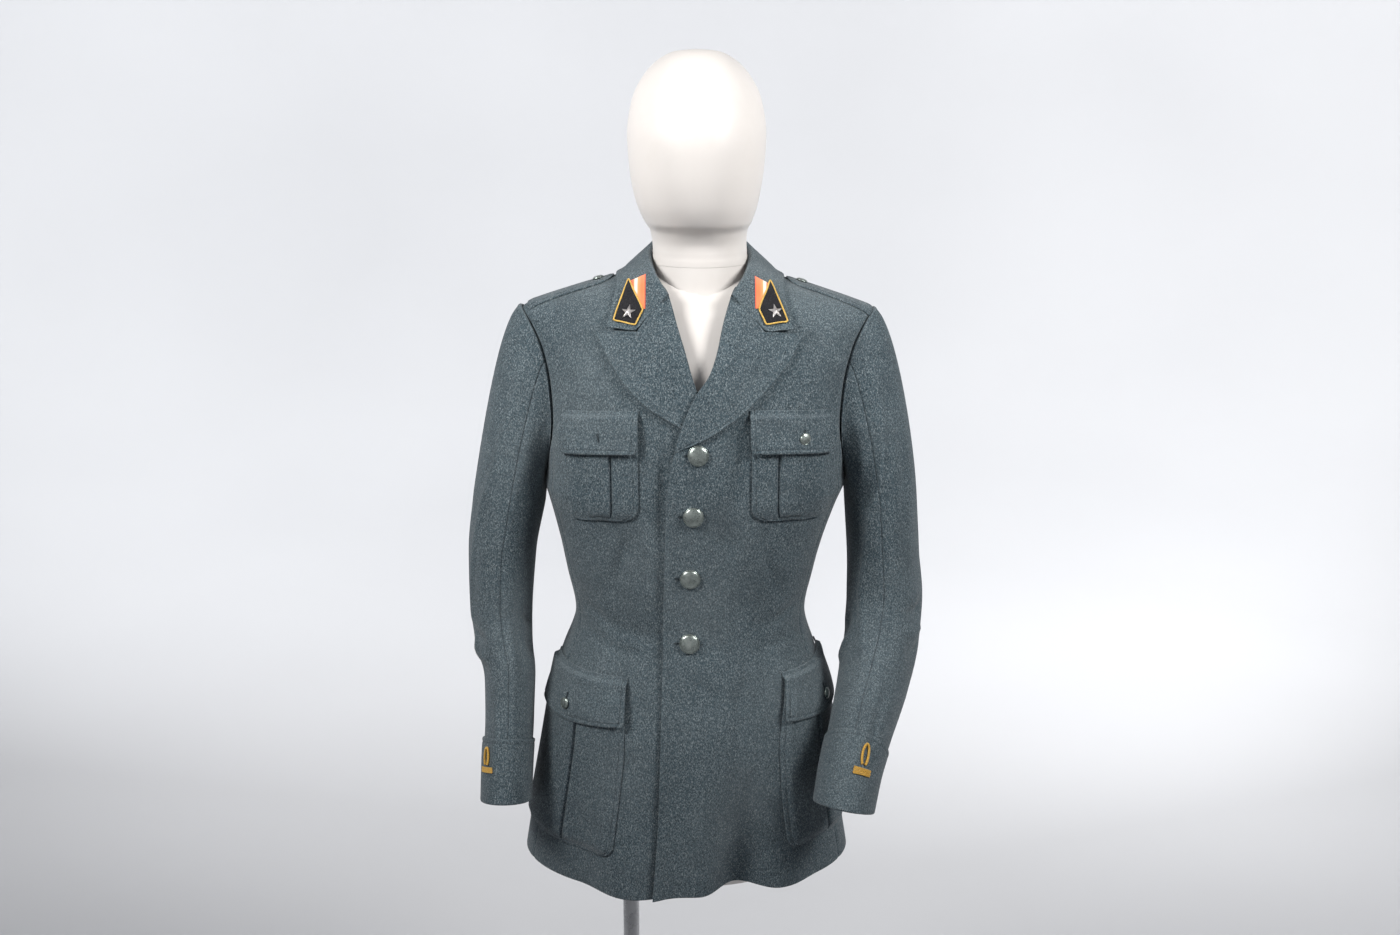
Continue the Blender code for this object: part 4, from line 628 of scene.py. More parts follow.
# Sleeve creases: half width and height in metres, then points by the way round the
# sleeve (0 outside, 0.25 in front, 0.5 inside) and the share down the arm, negative in its head.
sleeveCreases = {
    "right": [
        (0.011, 0.0024, 0.205, -0.90, 0.205, -0.45, 0.175, -0.15, 0.125, 0.14, 0.080, 0.40, 0.07, 0.62),
        (0.018, -0.0016, 0.265, -0.80, 0.262, -0.35, 0.240, 0.00, 0.215, 0.25, 0.20, 0.45),
        (0.016, -0.0034, 0.050, 0.36, 0.110, 0.42, 0.190, 0.44),
        (0.014, 0.0026, 0.030, 0.43, 0.100, 0.49, 0.180, 0.50),
        (0.013, -0.0026, 0.030, 0.50, 0.090, 0.55, 0.150, 0.55),
        (0.020, 0.0022, 0.330, 0.05, 0.320, 0.35, 0.310, 0.70),
        (0.016, -0.0030, 0.40, 0.33, 0.46, 0.38, 0.54, 0.38),
        (0.014, -0.0026, 0.41, 0.46, 0.47, 0.50, 0.55, 0.49),
        (0.020, -0.0030, 0.62, 0.28, 0.72, 0.38, 0.86, 0.40),
        (0.018, 0.0026, 0.62, 0.40, 0.72, 0.47, 0.86, 0.48),
        (0.022, -0.0024, 0.66, -0.50, 0.68, -0.10, 0.70, 0.20),
        (0.016, 0.0016, 0.190, 0.62, 0.200, 0.76, 0.215, 0.92),
    ],
    "left": [
        (0.011, 0.0026, 0.20, -0.90, 0.22, -0.40, 0.295, -0.08, 0.352, 0.12, 0.380, 0.27, 0.352, 0.46,
         0.300, 0.62, 0.240, 0.76),
        (0.018, -0.0018, 0.27, -0.80, 0.285, -0.40, 0.345, -0.10, 0.40, 0.10),
        (0.020, -0.0016, 0.13, -0.50, 0.16, -0.05, 0.20, 0.30),
        (0.014, -0.0040, 0.060, 0.30, 0.115, 0.345, 0.185, 0.350),
        (0.013, 0.0028, 0.050, 0.37, 0.110, 0.415, 0.180, 0.410),
        (0.013, -0.0030, 0.040, 0.44, 0.100, 0.48, 0.165, 0.47),
        (0.016, -0.0034, 0.42, 0.36, 0.48, 0.42, 0.56, 0.42),
        (0.014, 0.0024, 0.42, 0.44, 0.48, 0.50, 0.56, 0.50),
        (0.020, -0.0034, 0.62, 0.26, 0.74, 0.34, 0.90, 0.34),
        (0.018, 0.0030, 0.62, 0.37, 0.74, 0.44, 0.90, 0.43),
        (0.022, -0.0024, 0.68, -0.50, 0.70, -0.10, 0.72, 0.15),
        (0.016, -0.0018, 0.17, 0.56, 0.18, 0.70, 0.19, 0.86),
    ],
}


def armValue(word, name, share):
    return curveThrough(np.arange(8), arms[word][name], share * 7)


def armMiddle(word, share):
    return stack(*[armValue(word, name, share) for name in "xyz"])


def armAxis(word, share, step=0.03):
    low, high = np.maximum(share - step, 0.0), np.minimum(share + step, 1.0)
    return unit(armMiddle(word, high) - armMiddle(word, low))


def armSection(word, side, around, share):
    axis = armAxis(word, share)
    away = unit(np.array([side, 0.0, 0.0]) - axis * side * axis[..., :1])
    ahead = np.cross(away, axis)
    ahead = ahead * -np.sign(ahead[..., 1:2])
    angle = around * math.tau
    wide = armValue(word, "halfWidth", share) * np.cos(angle)
    deep = armValue(word, "halfDepth", share) * np.sin(angle)
    return armMiddle(word, share) + away * wide[..., None] + ahead * deep[..., None]


def armholePoint(side, around):
    share = np.minimum(around, 1 - around) * 2
    level = ridgeLevel - (ridgeLevel - armpitZ) * share
    sweep = armholeSweep(level)
    sweep = np.where(around > 0.5, math.pi - sweep, sweep)
    return trunkPoint(side * sweep, level) + np.array([side * sleeveSizes["headGap"], 0.0, 0.0])


def sleevePoint(word, side, around, share):
    # Down the arm from share 0 to 1, and up the sleeve's head to the armhole at -1.
    around, share = np.broadcast_arrays(np.mod(around, 1.0), share)
    arm = armSection(word, side, around, np.clip(share, 0.0, 1.0))
    slanted = sleeveSizes["slantFrom"]
    slant = mouthSlant[word] * np.sin(around * math.tau) * ease((share - slanted) / (1 - slanted))
    arm = arm + armAxis(word, 0 * share + 1) * slant[..., None]
    over = (np.cos(around * math.pi) ** 2)[..., None]
    (outLow, outMore), (arriveLow, arriveMore) = headPath["out"], headPath["arrive"]
    leave = [side * (outLow + outMore * over), 0 * over, -headPath["down"] * (1 - over)]
    leave = np.concatenate(leave, axis=-1)
    arrive = armAxis(word, 0 * share) * (arriveLow + arriveMore * over)
    head = hermite(np.clip(share + 1, 0.0, 1.0)[..., None], armholePoint(side, around), leave,
                   armSection(word, side, around, 0 * share), arrive)
    return np.where(share[..., None] >= 0, arm, head)


def sleeveCloth(word, side):
    wide, tall, depth = sleeveSizes["round"], sleeveSizes["long"], sleeveSizes["creaseDepth"]
    stepU, stepV = sleeveSizes["step"]
    table = []
    for reach, high, *path in sleeveCreases[word]:
        table.append((reach, high * depth, *[k * (wide, tall)[i % 2] for i, k in enumerate(path)]))

    def place(around, share, out):
        point = sleevePoint(word, side, around, share)
        low, high = np.maximum(share - stepV, -1.0), np.minimum(share + stepV, 1.0)
        before, after = [sleevePoint(word, side, around + step, share) for step in (-stepU, stepU)]
        upper, lower = [sleevePoint(word, side, around, at) for at in (low, high)]
        normal = unit(np.cross(after - before, lower - upper)) * side
        height = ridges(table, np.mod(around, 1.0) * wide, share * tall)
        puff = sleeveSizes["puff"] * hump(share - sleeveSizes["puffAt"], sleeveSizes["puffReach"])
        return point + normal * np.asarray(out + height + puff)[..., None]

    return place


def sleevePiece(kind, word, side, first, last):
    gap = sleeveSizes["seamGap"]
    across = stops(sleeveSizes["round"] * (last - first), int(sleeveSizes["columns"] * (last - first)))
    share = -1 + 2 * stops(sleeveSizes["length"], sleeveSizes["rows"])
    u, v = np.meshgrid(first + gap + (last - first - 2 * gap) * across, share)
    return cut("sleeve_%s_cloth_%s" % (kind, word), sleeveCloth(word, side), u, v, -wool["wall"], seams="lrb")


def sleeveUnder(word, side):
    return sleevePiece("under", word, side, sleeveSizes["underFrom"], sleeveSizes["underTo"])


def sleeveUpper(word, side):
    return sleevePiece("upper", word, side, sleeveSizes["underTo"], sleeveSizes["underFrom"] + 1)


cuffSizes = {"height": 0.080, "rows": 24, "around": 100, "seamAt": {"right": 0.36, "left": 0.66},
             "seamDeep": 0.0009, "seamReach": 0.0016}


def cuffStart(word):
    # The share down the arm at which the cuff begins.
    end = armMiddle(word, 1.0)
    return halving(0.5, 1.0, lambda share: lengthOf(armMiddle(word, share) - end)[0] > cuffSizes["height"])


def cuffPiece(word, side):
    start = cuffStart(word)
    share = start + (1 - start) * stops(cuffSizes["height"], cuffSizes["rows"], sewnRows)
    u, v = np.meshgrid(np.arange(cuffSizes["around"]) / cuffSizes["around"], share)
    across = (u - cuffSizes["seamAt"][word]) * sleeveSizes["round"]
    return cut("cuff_cloth_" + word, sleeveCloth(word, side), u, v, wool["lay"],
               relief=-cuffSizes["seamDeep"] * hump(across, cuffSizes["seamReach"]), stitched="b", ring=True)


# The lapels.
lapelEdge = {
    "right": [(0.0170, 1.2880), (0.0000, 1.2975), (-0.0238, 1.3095), (-0.0380, 1.3177), (-0.0594, 1.3299),
              (-0.0819, 1.3494), (-0.1032, 1.3762), (-0.1173, 1.4018), (-0.1275, 1.4200)],
    "left": [(-0.0238, 1.2835), (0.0024, 1.2945), (0.0238, 1.3068), (0.0416, 1.3177), (0.0642, 1.3373),
             (0.0889, 1.3627), (0.1081, 1.3861), (0.1225, 1.4108), (0.1310, 1.4200)],
}
lapelSizes = {
    "gorgeRise": 0.885, "notchShare": 0.55,
    "notch": {"right": (0.0755, 1.4200), "left": (0.0782, 1.4190)}, "start": {"right": 0.245, "left": 0.225},
    "rows": 70, "across": 44, "length": 0.20, "lift": 0.0024, "liftFrom": 0.70, "swell": 0.0025,
    "swellTo": 0.42, "swellZ": 1.36, "lastColumns": (0.0200, 0.0110, 0.0045, 0.0), "rollRadius": 0.0026,
    "rollBack": 0.0022, "rollThin": 0.0016, "rollSteps": 12, "rollFade": 0.02, "rollLeft": 0.3,
    "rollInside": 0.0004, "swellOver": 0.03, "liftOver": 0.15, "lastFull": 0.975,
}


def rollPlace(word, rise):
    x = curveThrough(rollLine["rise"], rollLine[word], rise)
    return np.stack([x, armpitZ + rise * (shoulderZ(x) - armpitZ)], axis=-1)


def alongPoints(points, share):
    points = np.array(points)
    places = np.arange(len(points))
    at = share * (len(points) - 1)
    return np.stack([curveThrough(places, points[:, i], at) for i in range(2)], axis=-1)


def lapelPlace(word, side):
    # A sheet between the roll line, the free edge, the lower end and the notched top.
    start, gorge = lapelSizes["start"][word], lapelSizes["gorgeRise"]
    notchShare = lapelSizes["notchShare"]
    topIn, peak = rollPlace(word, np.array(gorge)), np.array(lapelEdge[word][-1])
    notch = np.array([side * lapelSizes["notch"][word][0], lapelSizes["notch"][word][1]])

    def place(u, v, out):
        u, v = np.broadcast_arrays(u, v)
        a, b = u[..., None], v[..., None]
        rolled = rollPlace(word, start + (gorge - start) * v)
        free = alongPoints(lapelEdge[word], v)
        first = topIn + (notch - topIn) * (a / notchShare)
        second = notch + (peak - notch) * ((a - notchShare) / (1 - notchShare))
        top = np.where(a <= notchShare, first, second)
        spot = rolled + (free - rolled) * a + (top - topIn - (peak - topIn) * a) * b
        swell = np.sin(np.clip(u / lapelSizes["swellTo"], 0, 1) * math.pi) ** 2 * lapelSizes["swell"]
        swell = swell * ease((spot[..., 1] - lapelSizes["swellZ"]) / lapelSizes["swellOver"])
        lift = ease((u - lapelSizes["liftFrom"]) / (1 - lapelSizes["liftFrom"]))
        lift = lift * ease(v / lapelSizes["liftOver"])
        height = out + swell + lapelSizes["lift"] * lift
        return onFront(spot[..., 0], spot[..., 1], height, side > 0)

    return place


def lapelPiece(word, side):
    # The turned front: its inner edge rolls round the front's own edge.
    place, low, high = lapelPlace(word, side), wool["lay"], wool["lay"] + wool["wall"]
    ends = 1 - np.array(lapelSizes["lastColumns"])
    share = np.linspace(0, 1, lapelSizes["across"])[:-1] * lapelSizes["lastFull"]
    share = np.sort([*share, *ends, lapelSizes["notchShare"]])
    u, v = np.meshgrid(share, stops(lapelSizes["length"], lapelSizes["rows"], sewnRows))
    base = place(u, v, 0.0)
    left, right, bottom, top = edgeDistances(base)
    rise = np.minimum.reduce([edgeRise(distance) for distance in (right, top, bottom)])
    outer = place(u, v, low + wool["wall"] * rise - stitchGroove(np.minimum(right, top)))
    inner = place(u, v, low + 0 * rise)
    addSewn(place(u, v, low + threadHeight), (left, right, bottom, top), "rt")
    # the roll: from the lapel's face round to behind the front
    first = base[:, :1]
    toward = unit(first - base[:, 1:2])
    outward = unit(outer[:, :1] - first)
    middle, half = (high - lapelSizes["rollBack"]) / 2, (high + lapelSizes["rollBack"]) / 2
    angle = np.linspace(-math.pi / 2, math.pi / 2, lapelSizes["rollSteps"])[None, :-1, None]
    taper = ease(bottom[:, :1] / lapelSizes["rollFade"])[..., None]
    reach = lapelSizes["rollRadius"] * (lapelSizes["rollLeft"] + (1 - lapelSizes["rollLeft"]) * taper)
    roll = first + toward * np.cos(angle) * reach + outward * (middle + half * np.sin(angle))
    half = half - lapelSizes["rollThin"]
    reach = lapelSizes["rollInside"]
    thin = first + toward * np.cos(angle) * reach + outward * (middle + half * np.sin(angle))
    return shellOf("lapel_cloth_" + word, np.concatenate([roll, outer], axis=1),
                   np.concatenate([thin, inner], axis=1), woolCloth)


# The collar.
collarSizes = {
    "share": [0.00, 0.18, 0.36, 0.50, 0.60, 0.72, 0.86, 1.00],
    "rollX": [0.0000, 0.0270, 0.0500, 0.0630, 0.0645, 0.0625, 0.0552, 0.0392],
    "rollY": [0.0700, 0.0640, 0.0435, 0.0160, -0.0060, -0.0320, -0.0640, -0.0875],
    "rollZ": [1.5400, 1.5370, 1.5215, 1.5085, 1.5040, 1.4970, 1.4850, 1.4640],
    "edgeX": [0.0000, 0.0360, 0.0720, 0.0965, 0.1030, 0.1015, 0.1050, 0.1125],
    "edgeY": [0.0920, 0.0860, 0.0640, 0.0300, -0.0060, -0.0400, -0.0680, -0.0950],
    "edgeZ": [1.488, 1.486, 1.480, 1.477, 1.475, 1.471, 1.451, 1.424],
    "side": 0.55, "endRise": 0.862, "rollRadius": 0.0032, "rollDrop": 0.0022, "stations": 56, "rows": 48,
    "parts": (0.2, 0.4, 0.6, 0.8, 1.0), "bendFrom": 0.80, "bulge": 0.002, "rootLay": 0.0010, "lay": 0.0012,
    "fallFrom": 0.045, "fallOver": 0.01, "firstSewn": 20, "leastRise": 0.004, "notchPart": 0.6,
    "pastNotch": (0.0006, 0.0004), "crowding": 0.9, "lastStations": (0.990, 0.996),
    "lastRows": (0.5, 0.8, 0.93),
}
upward = np.array([0.0, 0.0, 1.0])


def snapTo(point, out, lapped=False):
    # The nearest place on the trunk, at least out above it.
    behind = point[..., 1] > 0
    x, z = point[..., 0], np.minimum(point[..., 2], shoulderZ(point[..., 0]) - 0.003)
    sweep, level = placeOnFront(x, z)
    sweep = np.where(behind, math.pi - sweep, sweep)
    for _ in range(12):
        here = trunkPoint(sweep, level)
        alongS = (trunkPoint(sweep + 0.002, level) - trunkPoint(sweep - 0.002, level)) / 0.004
        alongV = (trunkPoint(sweep, level + 0.0005) - trunkPoint(sweep, level - 0.0005)) / 0.001
        miss = point - here
        ss, sv, vv = dot(alongS, alongS), dot(alongS, alongV), dot(alongV, alongV)
        rs, rv = dot(alongS, miss), dot(alongV, miss)
        scale = ss * vv - sv * sv
        sweep = sweep + np.clip((vv * rs - sv * rv) / scale, -0.15, 0.15)
        level = level + np.clip((ss * rv - sv * rs) / scale, -0.02, 0.02)
        level = np.minimum(level, ridgeLevel - 0.0006)
    height = dot(point - trunkPoint(sweep, level), normalOn(trunkPoint, sweep, level))
    return clothPoint(sweep, level, np.maximum(height, out), lapped)


def neckSeam(word, side, share):
    # The collar's root: round the back of the neck hole, then down the roll line in front.
    corner = math.pi - math.asin(neckHole["half"] / fullHalf(1.0))
    lay, turn, end = collarSizes["rootLay"], collarSizes["side"], collarSizes["endRise"]
    start = math.pi - 0.0001
    sweep = side * (start + (corner - start) * np.minimum(share / turn, 1.0))
    behind = clothPoint(sweep, neckLevel(sweep), lay)
    rise = 1.0 - (1.0 - end) * (share - turn) / (1 - turn)
    level = np.minimum(levelOf(rise), ridgeLevel - 0.001)
    x = curveThrough(rollLine["rise"], rollLine[word], rise)
    before = clothPoint(sweepAt(x, level), level, lay)
    return np.where((share <= turn)[..., None], behind, before)


def collarSection(word, side, share):
    # Points of the collar's middle from the neck seam over the roll to the free edge.
    def station(kind):
        x, y, z = [curveThrough(collarSizes["share"], collarSizes[kind + axis], share) for axis in "XYZ"]
        return stack(side * x, y, z - side * shoulder["tilt"] * x)

    root, roll, edge = neckSeam(word, side, share), station("roll"), station("edge")
    away = unit(roll * np.array([1.0, 1.0, 0.0]))
    rise = np.maximum(roll[..., 2] - root[..., 2], collarSizes["leastRise"])
    drop = np.minimum(collarSizes["rollDrop"], rise * 0.5)[..., None] * upward
    inside = roll - away * collarSizes["rollRadius"] - drop
    outside = roll + away * collarSizes["rollRadius"] - drop
    rows = [root, root + (inside - root) * 0.5, inside, roll, outside]
    bent = ease((share - collarSizes["bendFrom"]) / (1 - collarSizes["bendFrom"]))[..., None]
    beside, level = np.array(lapelSizes["notch"][word]) + collarSizes["pastNotch"]
    turn = collarSizes["notchPart"]
    for part in collarSizes["parts"]:
        point = outside + (edge - outside) * part
        # toward the front the fall's end runs along the lapel's gorge, by way of its notch
        notch = point.copy()
        notch[..., 0], notch[..., 2] = side * beside, level
        gorge = outside + (notch - outside) * (part / turn)
        if part >= turn:
            gorge = notch + (edge - notch) * ((part - turn) / (1 - turn))
        gorge[..., 1] = point[..., 1]
        point = point + (gorge - point) * bent * bent
        bulge = math.sin(part * math.pi) * collarSizes["bulge"] * (1 - bent)
        point = point + unit(away + upward) * bulge
        rows.append(snapTo(point, wool["lay"] + wool["wall"] / 2 + collarSizes["lay"]))
    return np.array(rows)


def between(a, b, c, d, t):
    # A smooth path's place from b to c, on its way from a to d.
    bend = (2 * a - 5 * b + 4 * c - d) * t * t + (3 * b - a - 3 * c + d) * t ** 3
    return 0.5 * (2 * b + (c - a) * t + bend)


def rounded(rows, count):
    # A smooth sheet through rows of points, as this count of rows.
    padded = np.concatenate([rows[:1] * 2 - rows[1:2], rows, rows[-1:] * 2 - rows[-2:-1]])
    made = []
    for at in np.linspace(0, len(rows) - 1, count):
        i = min(int(at), len(rows) - 2)
        made.append(between(*padded[i:i + 4], at - i))
    return np.array(made)


def gridNormals(grid):
    return unit(np.cross(np.gradient(grid, axis=0), np.gradient(grid, axis=1)))


def collarPiece():
    share = np.linspace(0, 1, collarSizes["stations"]) ** collarSizes["crowding"]
    share = np.sort([*share, *collarSizes["lastStations"]])
    right = collarSection("right", -1, share)[:, ::-1]
    left = collarSection("left", 1, share)
    rows = rounded(np.concatenate([right[:, :-1], left], axis=1), collarSizes["rows"])
    tail = [rows[-2] + (rows[-1] - rows[-2]) * t for t in collarSizes["lastRows"]]
    middle = np.concatenate([rows[:-1], tail, rows[-1:]])
    normal, half = gridNormals(middle), wool["wall"] / 2
    distances = left, right, root, free = edgeDistances(middle)
    rise = np.minimum.reduce([edgeRise(distance) for distance in (free, left, right)])
    fall = ease((root - collarSizes["fallFrom"]) / collarSizes["fallOver"])
    groove = fall * stitchGroove(np.minimum.reduce([free, left, right]))
    outer = middle + normal * (half * (2 * rise - 1) - groove)[..., None]
    line, first = middle + normal * (threadHeight - half), collarSizes["firstSewn"]
    addSewn(line[first:], [distance[first:] for distance in distances], "lrt")
    return shellOf("collar_cloth", outer, middle - normal * half, woolCloth)


# The pockets.
chestPockets = {
    "right": {"left": -0.1660, "right": -0.0745, "top": 1.3200, "low": 1.1930, "pleat": (-0.1340, -0.1080)},
    "left": {"left": 0.0620, "right": 0.1585, "top": 1.3200, "low": 1.1930, "pleat": (0.0955, 0.1220)},
}
chestFlaps = {
    "right": {"left": -0.1675, "right": -0.0735, "top": 1.3290, "low": 1.2770},
    "left": {"left": 0.0590, "right": 0.1610, "top": 1.3300, "low": 1.2780},
}
lowerPockets = {
    "right": {"front": -25.0, "back": -86.0, "lean": 3.0, "top": 0.9760, "low": 0.7500},
    "left": {"front": 38.0, "back": 97.0, "lean": 8.0, "top": 0.9760, "low": 0.7500},
}
lowerPleat = (0.405, 0.595)
lowerFlap = {
    "left": -0.02, "right": 1.02, "top": 0.986, "low": 0.926, "sag": 0.006, "frontLift": 0.0045,
    "liftTo": 0.16, "liftOver": 0.18, "half": 0.1,
}
pocketSizes = {
    "corner": 0.018, "pleatStep": 0.0022, "pleatEdge": 0.0014, "chestLay": 0.0013, "swell": 0.0016,
    "foldDeep": 0.0026, "drop": 0.0075, "bellows": 0.0050, "around": 0.19, "flapLay": 0.0056,
    "flapLift": 0.0030, "flapSeam": 0.0075, "flapSeamDeep": 0.0007, "flapSeamReach": 0.0012,
    "lowSeam": 0.012, "swellOver": 0.012, "swellTop": 0.03, "bellowsOver": 0.016, "bellowsTop": 0.05,
    "flapBend": (0.0055, 0.0045), "liftReach": 0.02, "liftBelow": 0.01, "dropBend": 1.4,
    "leanFrom": 0.88, "leanOver": 0.11,
}
# Where the deep fold lies beside a pleat, and its reach; the lower one's place is a share.
pleatFolds = {"chest": (0.0010, 0.0013), "lower": (0.005, 0.0015)}
pleatColumns = (-0.0012, -0.0007, -0.0002, 0.0002, 0.0007, 0.0012)
# The grid of each kind: metres and points each way, and how round its lower corners are.
patchGrids = {
    "chest_pocket": {"wide": 0.090, "columns": 42, "tall": 0.127, "rows": 54, "corner": 1.0},
    "chest_flap": {"wide": 0.095, "columns": 48, "tall": 0.050, "rows": 34, "corner": 0.25},
    "lower_pocket": {"wide": 0.190, "columns": 66, "tall": 0.226, "rows": 72, "corner": 1.0},
    "lower_flap": {"wide": 0.200, "columns": 64, "tall": 0.060, "rows": 34, "corner": 0.3},
}


def cornerInset(height):
    corner = pocketSizes["corner"]
    return corner - np.sqrt(np.maximum(corner ** 2 - (corner - np.minimum(height, corner)) ** 2, 0.0))


def patchGrid(kind, left, right, low, top, half, pleat=()):
    # Columns and rows of points, and the columns drawn in toward the round lower corners.
    grid = patchGrids[kind]
    x = left + (right - left) * stops(grid["wide"], grid["columns"], sewnRows)
    z = low + (top - low) * stops(grid["tall"], grid["rows"], sewnRows)
    u, v = np.meshgrid(np.sort(np.append(x, pleat)), z)
    return u, v, u - cornerInset(v - low) * grid["corner"] * (u - (left + right) / 2) / half


def sewnOn(kind, word, place, grid, relief):
    # It lies on place(x, z, out), with its drawn-in columns for x.
    u, v, drawn = grid
    return cut("%s_cloth_%s" % (kind, word), lambda _, z, out: place(drawn, z, out), u, v, 0.0, relief=relief,
               stitched="lrb")


def fromEdge(box, x, z):
    return np.minimum(np.minimum(x - box["left"], box["right"] - x), z - box["low"])


def pleatRise(at, left, right, width):
    return ease((at - left) / width + 0.5) * ease((right - at) / width + 0.5)


def pleatHeight(at, pleat, foldAt, foldReach, height, laid, metre=1.0):
    # A box pleat with a deep fold beside it, fading out at the lower seam. A flap lies
    # over it as if it were flat.
    if not laid:
        return ease(height / pocketSizes["lowSeam"]) * pocketSizes["pleatStep"]
    step = pocketSizes["pleatStep"] * pleatRise(at, *pleat, pocketSizes["pleatEdge"] / metre)
    fold = pocketSizes["foldDeep"] * hump((at - foldAt) * metre, foldReach)
    return ease(height / pocketSizes["lowSeam"]) * (step - fold)


def chestHeight(pocket, x, z, laid=True):
    swell = pocketSizes["swell"] * ease(fromEdge(pocket, x, z) / pocketSizes["swellOver"])
    swell = swell * ease((pocket["top"] - z) / pocketSizes["swellTop"])
    inner, (beside, reach) = min(pocket["pleat"], key=abs), pleatFolds["chest"]
    beyond = inner - math.copysign(beside, inner)
    pleat = pleatHeight(x, pocket["pleat"], beyond, reach, z - pocket["low"], laid)
    return pocketSizes["chestLay"] + swell + pleat


def chestDrop(pocket, x):
    # How much lower the pocket and its flap sit toward the arm.
    near, far = sorted((abs(pocket["left"]), abs(pocket["right"])))
    share = np.clip((np.abs(x) - near) / (far - near), 0.0, 1.1)
    return pocketSizes["drop"] * share ** pocketSizes["dropBend"]


def chestPlace(word, side):
    pocket = chestPockets[word]
    return lambda x, z, out: onFront(x, z - chestDrop(pocket, x), out, side > 0)


def chestPocketPiece(word, side):
    pocket = chestPockets[word]
    left, right, low, top = [pocket[name] for name in ("left", "right", "low", "top")]
    pleat = [p + d for p in pocket["pleat"] for d in pleatColumns]
    grid = patchGrid("chest_pocket", left, right, low, top, (right - left) / 2, pleat)
    return sewnOn("chest_pocket", word, chestPlace(word, side), grid, chestHeight(pocket, *grid[:2]))


def flapOver(pocket, under, z):
    # A flap's height: sewn down at its upper edge, and then over what is under it.
    over = np.maximum(under + wool["wall"], wool["lay"] + pocketSizes["flapLay"])
    above, bend = pocketSizes["flapBend"]
    return wool["lay"] + (over - wool["lay"]) * ease((pocket["top"] + above - z) / bend)


def flapSeam(flap, z):
    away = flap["top"] - z - pocketSizes["flapSeam"]
    return -pocketSizes["flapSeamDeep"] * hump(away, pocketSizes["flapSeamReach"])


def chestFlapHeight(pocket, x, z):
    near = np.clip(x, pocket["left"], pocket["right"])
    under = chestHeight(pocket, near, np.minimum(z, pocket["top"]), False) + 0.0008
    return flapOver(pocket, under, z)


def chestFlapPiece(word, side):
    pocket, flap = chestPockets[word], chestFlaps[word]
    left, right, low, top = [flap[name] for name in ("left", "right", "low", "top")]
    grid = u, v, _ = patchGrid("chest_flap", left, right, low, top, (right - left) / 2)
    reach = pocketSizes["liftReach"]
    lift = ease((reach - fromEdge(flap, u, v)) / reach) * ease((top - pocketSizes["liftBelow"] - v) / reach)
    relief = chestFlapHeight(pocket, u, v) + pocketSizes["flapLift"] * lift + flapSeam(flap, v)
    return sewnOn("chest_flap", word, chestPlace(word, side), grid, relief)


def lowerHeight(pocket, share, z, laid=True):
    around, height = pocketSizes["around"], z - pocket["low"]
    edge = np.minimum(np.minimum(share, 1 - share) * around, height)
    swell = pocketSizes["bellows"] * ease(edge / pocketSizes["bellowsOver"])
    swell = swell * ease((pocket["top"] - z) / pocketSizes["bellowsTop"])
    beside, reach = pleatFolds["lower"]
    pleat = pleatHeight(share, lowerPleat, lowerPleat[0] - beside, reach, height, laid, around)
    return wool["lay"] + swell + pleat


def lowerSweep(pocket, side, share, z):
    lean = pocket["lean"] * ease((z - pocketSizes["leanFrom"]) / pocketSizes["leanOver"]) * (1 - share)
    return np.radians(pocket["front"] + share * (pocket["back"] - pocket["front"]) + side * lean)


def lowerPlace(word, side):
    pocket = lowerPockets[word]
    return lambda share, z, out: clothPoint(lowerSweep(pocket, side, share, z), z, out)


def lowerPocketPiece(word, side):
    pocket, around = lowerPockets[word], pocketSizes["around"]
    pleat = [p + d / around for p in lowerPleat for d in pleatColumns]
    grid = patchGrid("lower_pocket", 0.0, 1.0, pocket["low"], pocket["top"], around / 2, pleat)
    return sewnOn("lower_pocket", word, lowerPlace(word, side), grid, lowerHeight(pocket, *grid[:2]))


def lowerFlapHeight(pocket, share, z):
    under = lowerHeight(pocket, np.clip(share, 0.0, 1.0), np.minimum(z, pocket["top"]), False) + 0.0010
    return flapOver(pocket, under, z)


def lowerFlapPiece(word, side):
    pocket, low, top = lowerPockets[word], lowerFlap["low"], lowerFlap["top"]
    left, right, half = lowerFlap["left"], lowerFlap["right"], lowerFlap["half"]
    grid = u, v, _ = patchGrid("lower_flap", left, right, low, top, half)
    down = (top - v) / (top - low)
    sag = lowerFlap["sag"] * np.sin(np.clip(u, 0, 1) * math.pi) * ease((down - 0.3) / 0.7)
    lift = lowerFlap["frontLift"] * ease((lowerFlap["liftTo"] - u) / lowerFlap["liftOver"])
    lift = lift * ease((down - 0.25) / 0.6)

    def place(share, z, out):
        return clothPoint(lowerSweep(pocket, side, share, z), z - sag, out)

    relief = lowerFlapHeight(pocket, u, v) + lift + flapSeam(lowerFlap, v)
    return sewnOn("lower_flap", word, place, grid, relief)


# The shoulder straps.
strapSizes = {
    "inner": 0.1070, "outer": 0.2160, "half": 0.0215, "tip": 0.003, "y": -0.003, "buttonX": 0.1265,
    "pull": 0.0055, "pullFrom": 0.19, "pullOver": 0.026, "rows": 46, "columns": 22,
}


def shoulderPlace(x, y):
    # The sweep and level of a place on the shoulder, seen from above.
    rise = np.ones(np.broadcast(x, y).shape)
    square = trunkValue("square", armpitZ)
    depth = np.where(y <= 0, trunkValue("front", armpitZ), trunkValue("back", armpitZ))
    for _ in range(24):
        share = (x - yokeValue("middle", rise)) / fullHalf(rise)
        reach = depth * (1 - np.abs(share) ** square) ** (1 / square)
        close = np.minimum(np.abs(y) / reach, 0.999)
        rise = (1 - close ** shoulderRound) ** (1 / shoulderRound)
    sweep = np.arcsin(share)
    return np.where(y <= 0, sweep, math.pi - sweep), np.minimum(levelOf(rise), ridgeLevel - 0.0002)


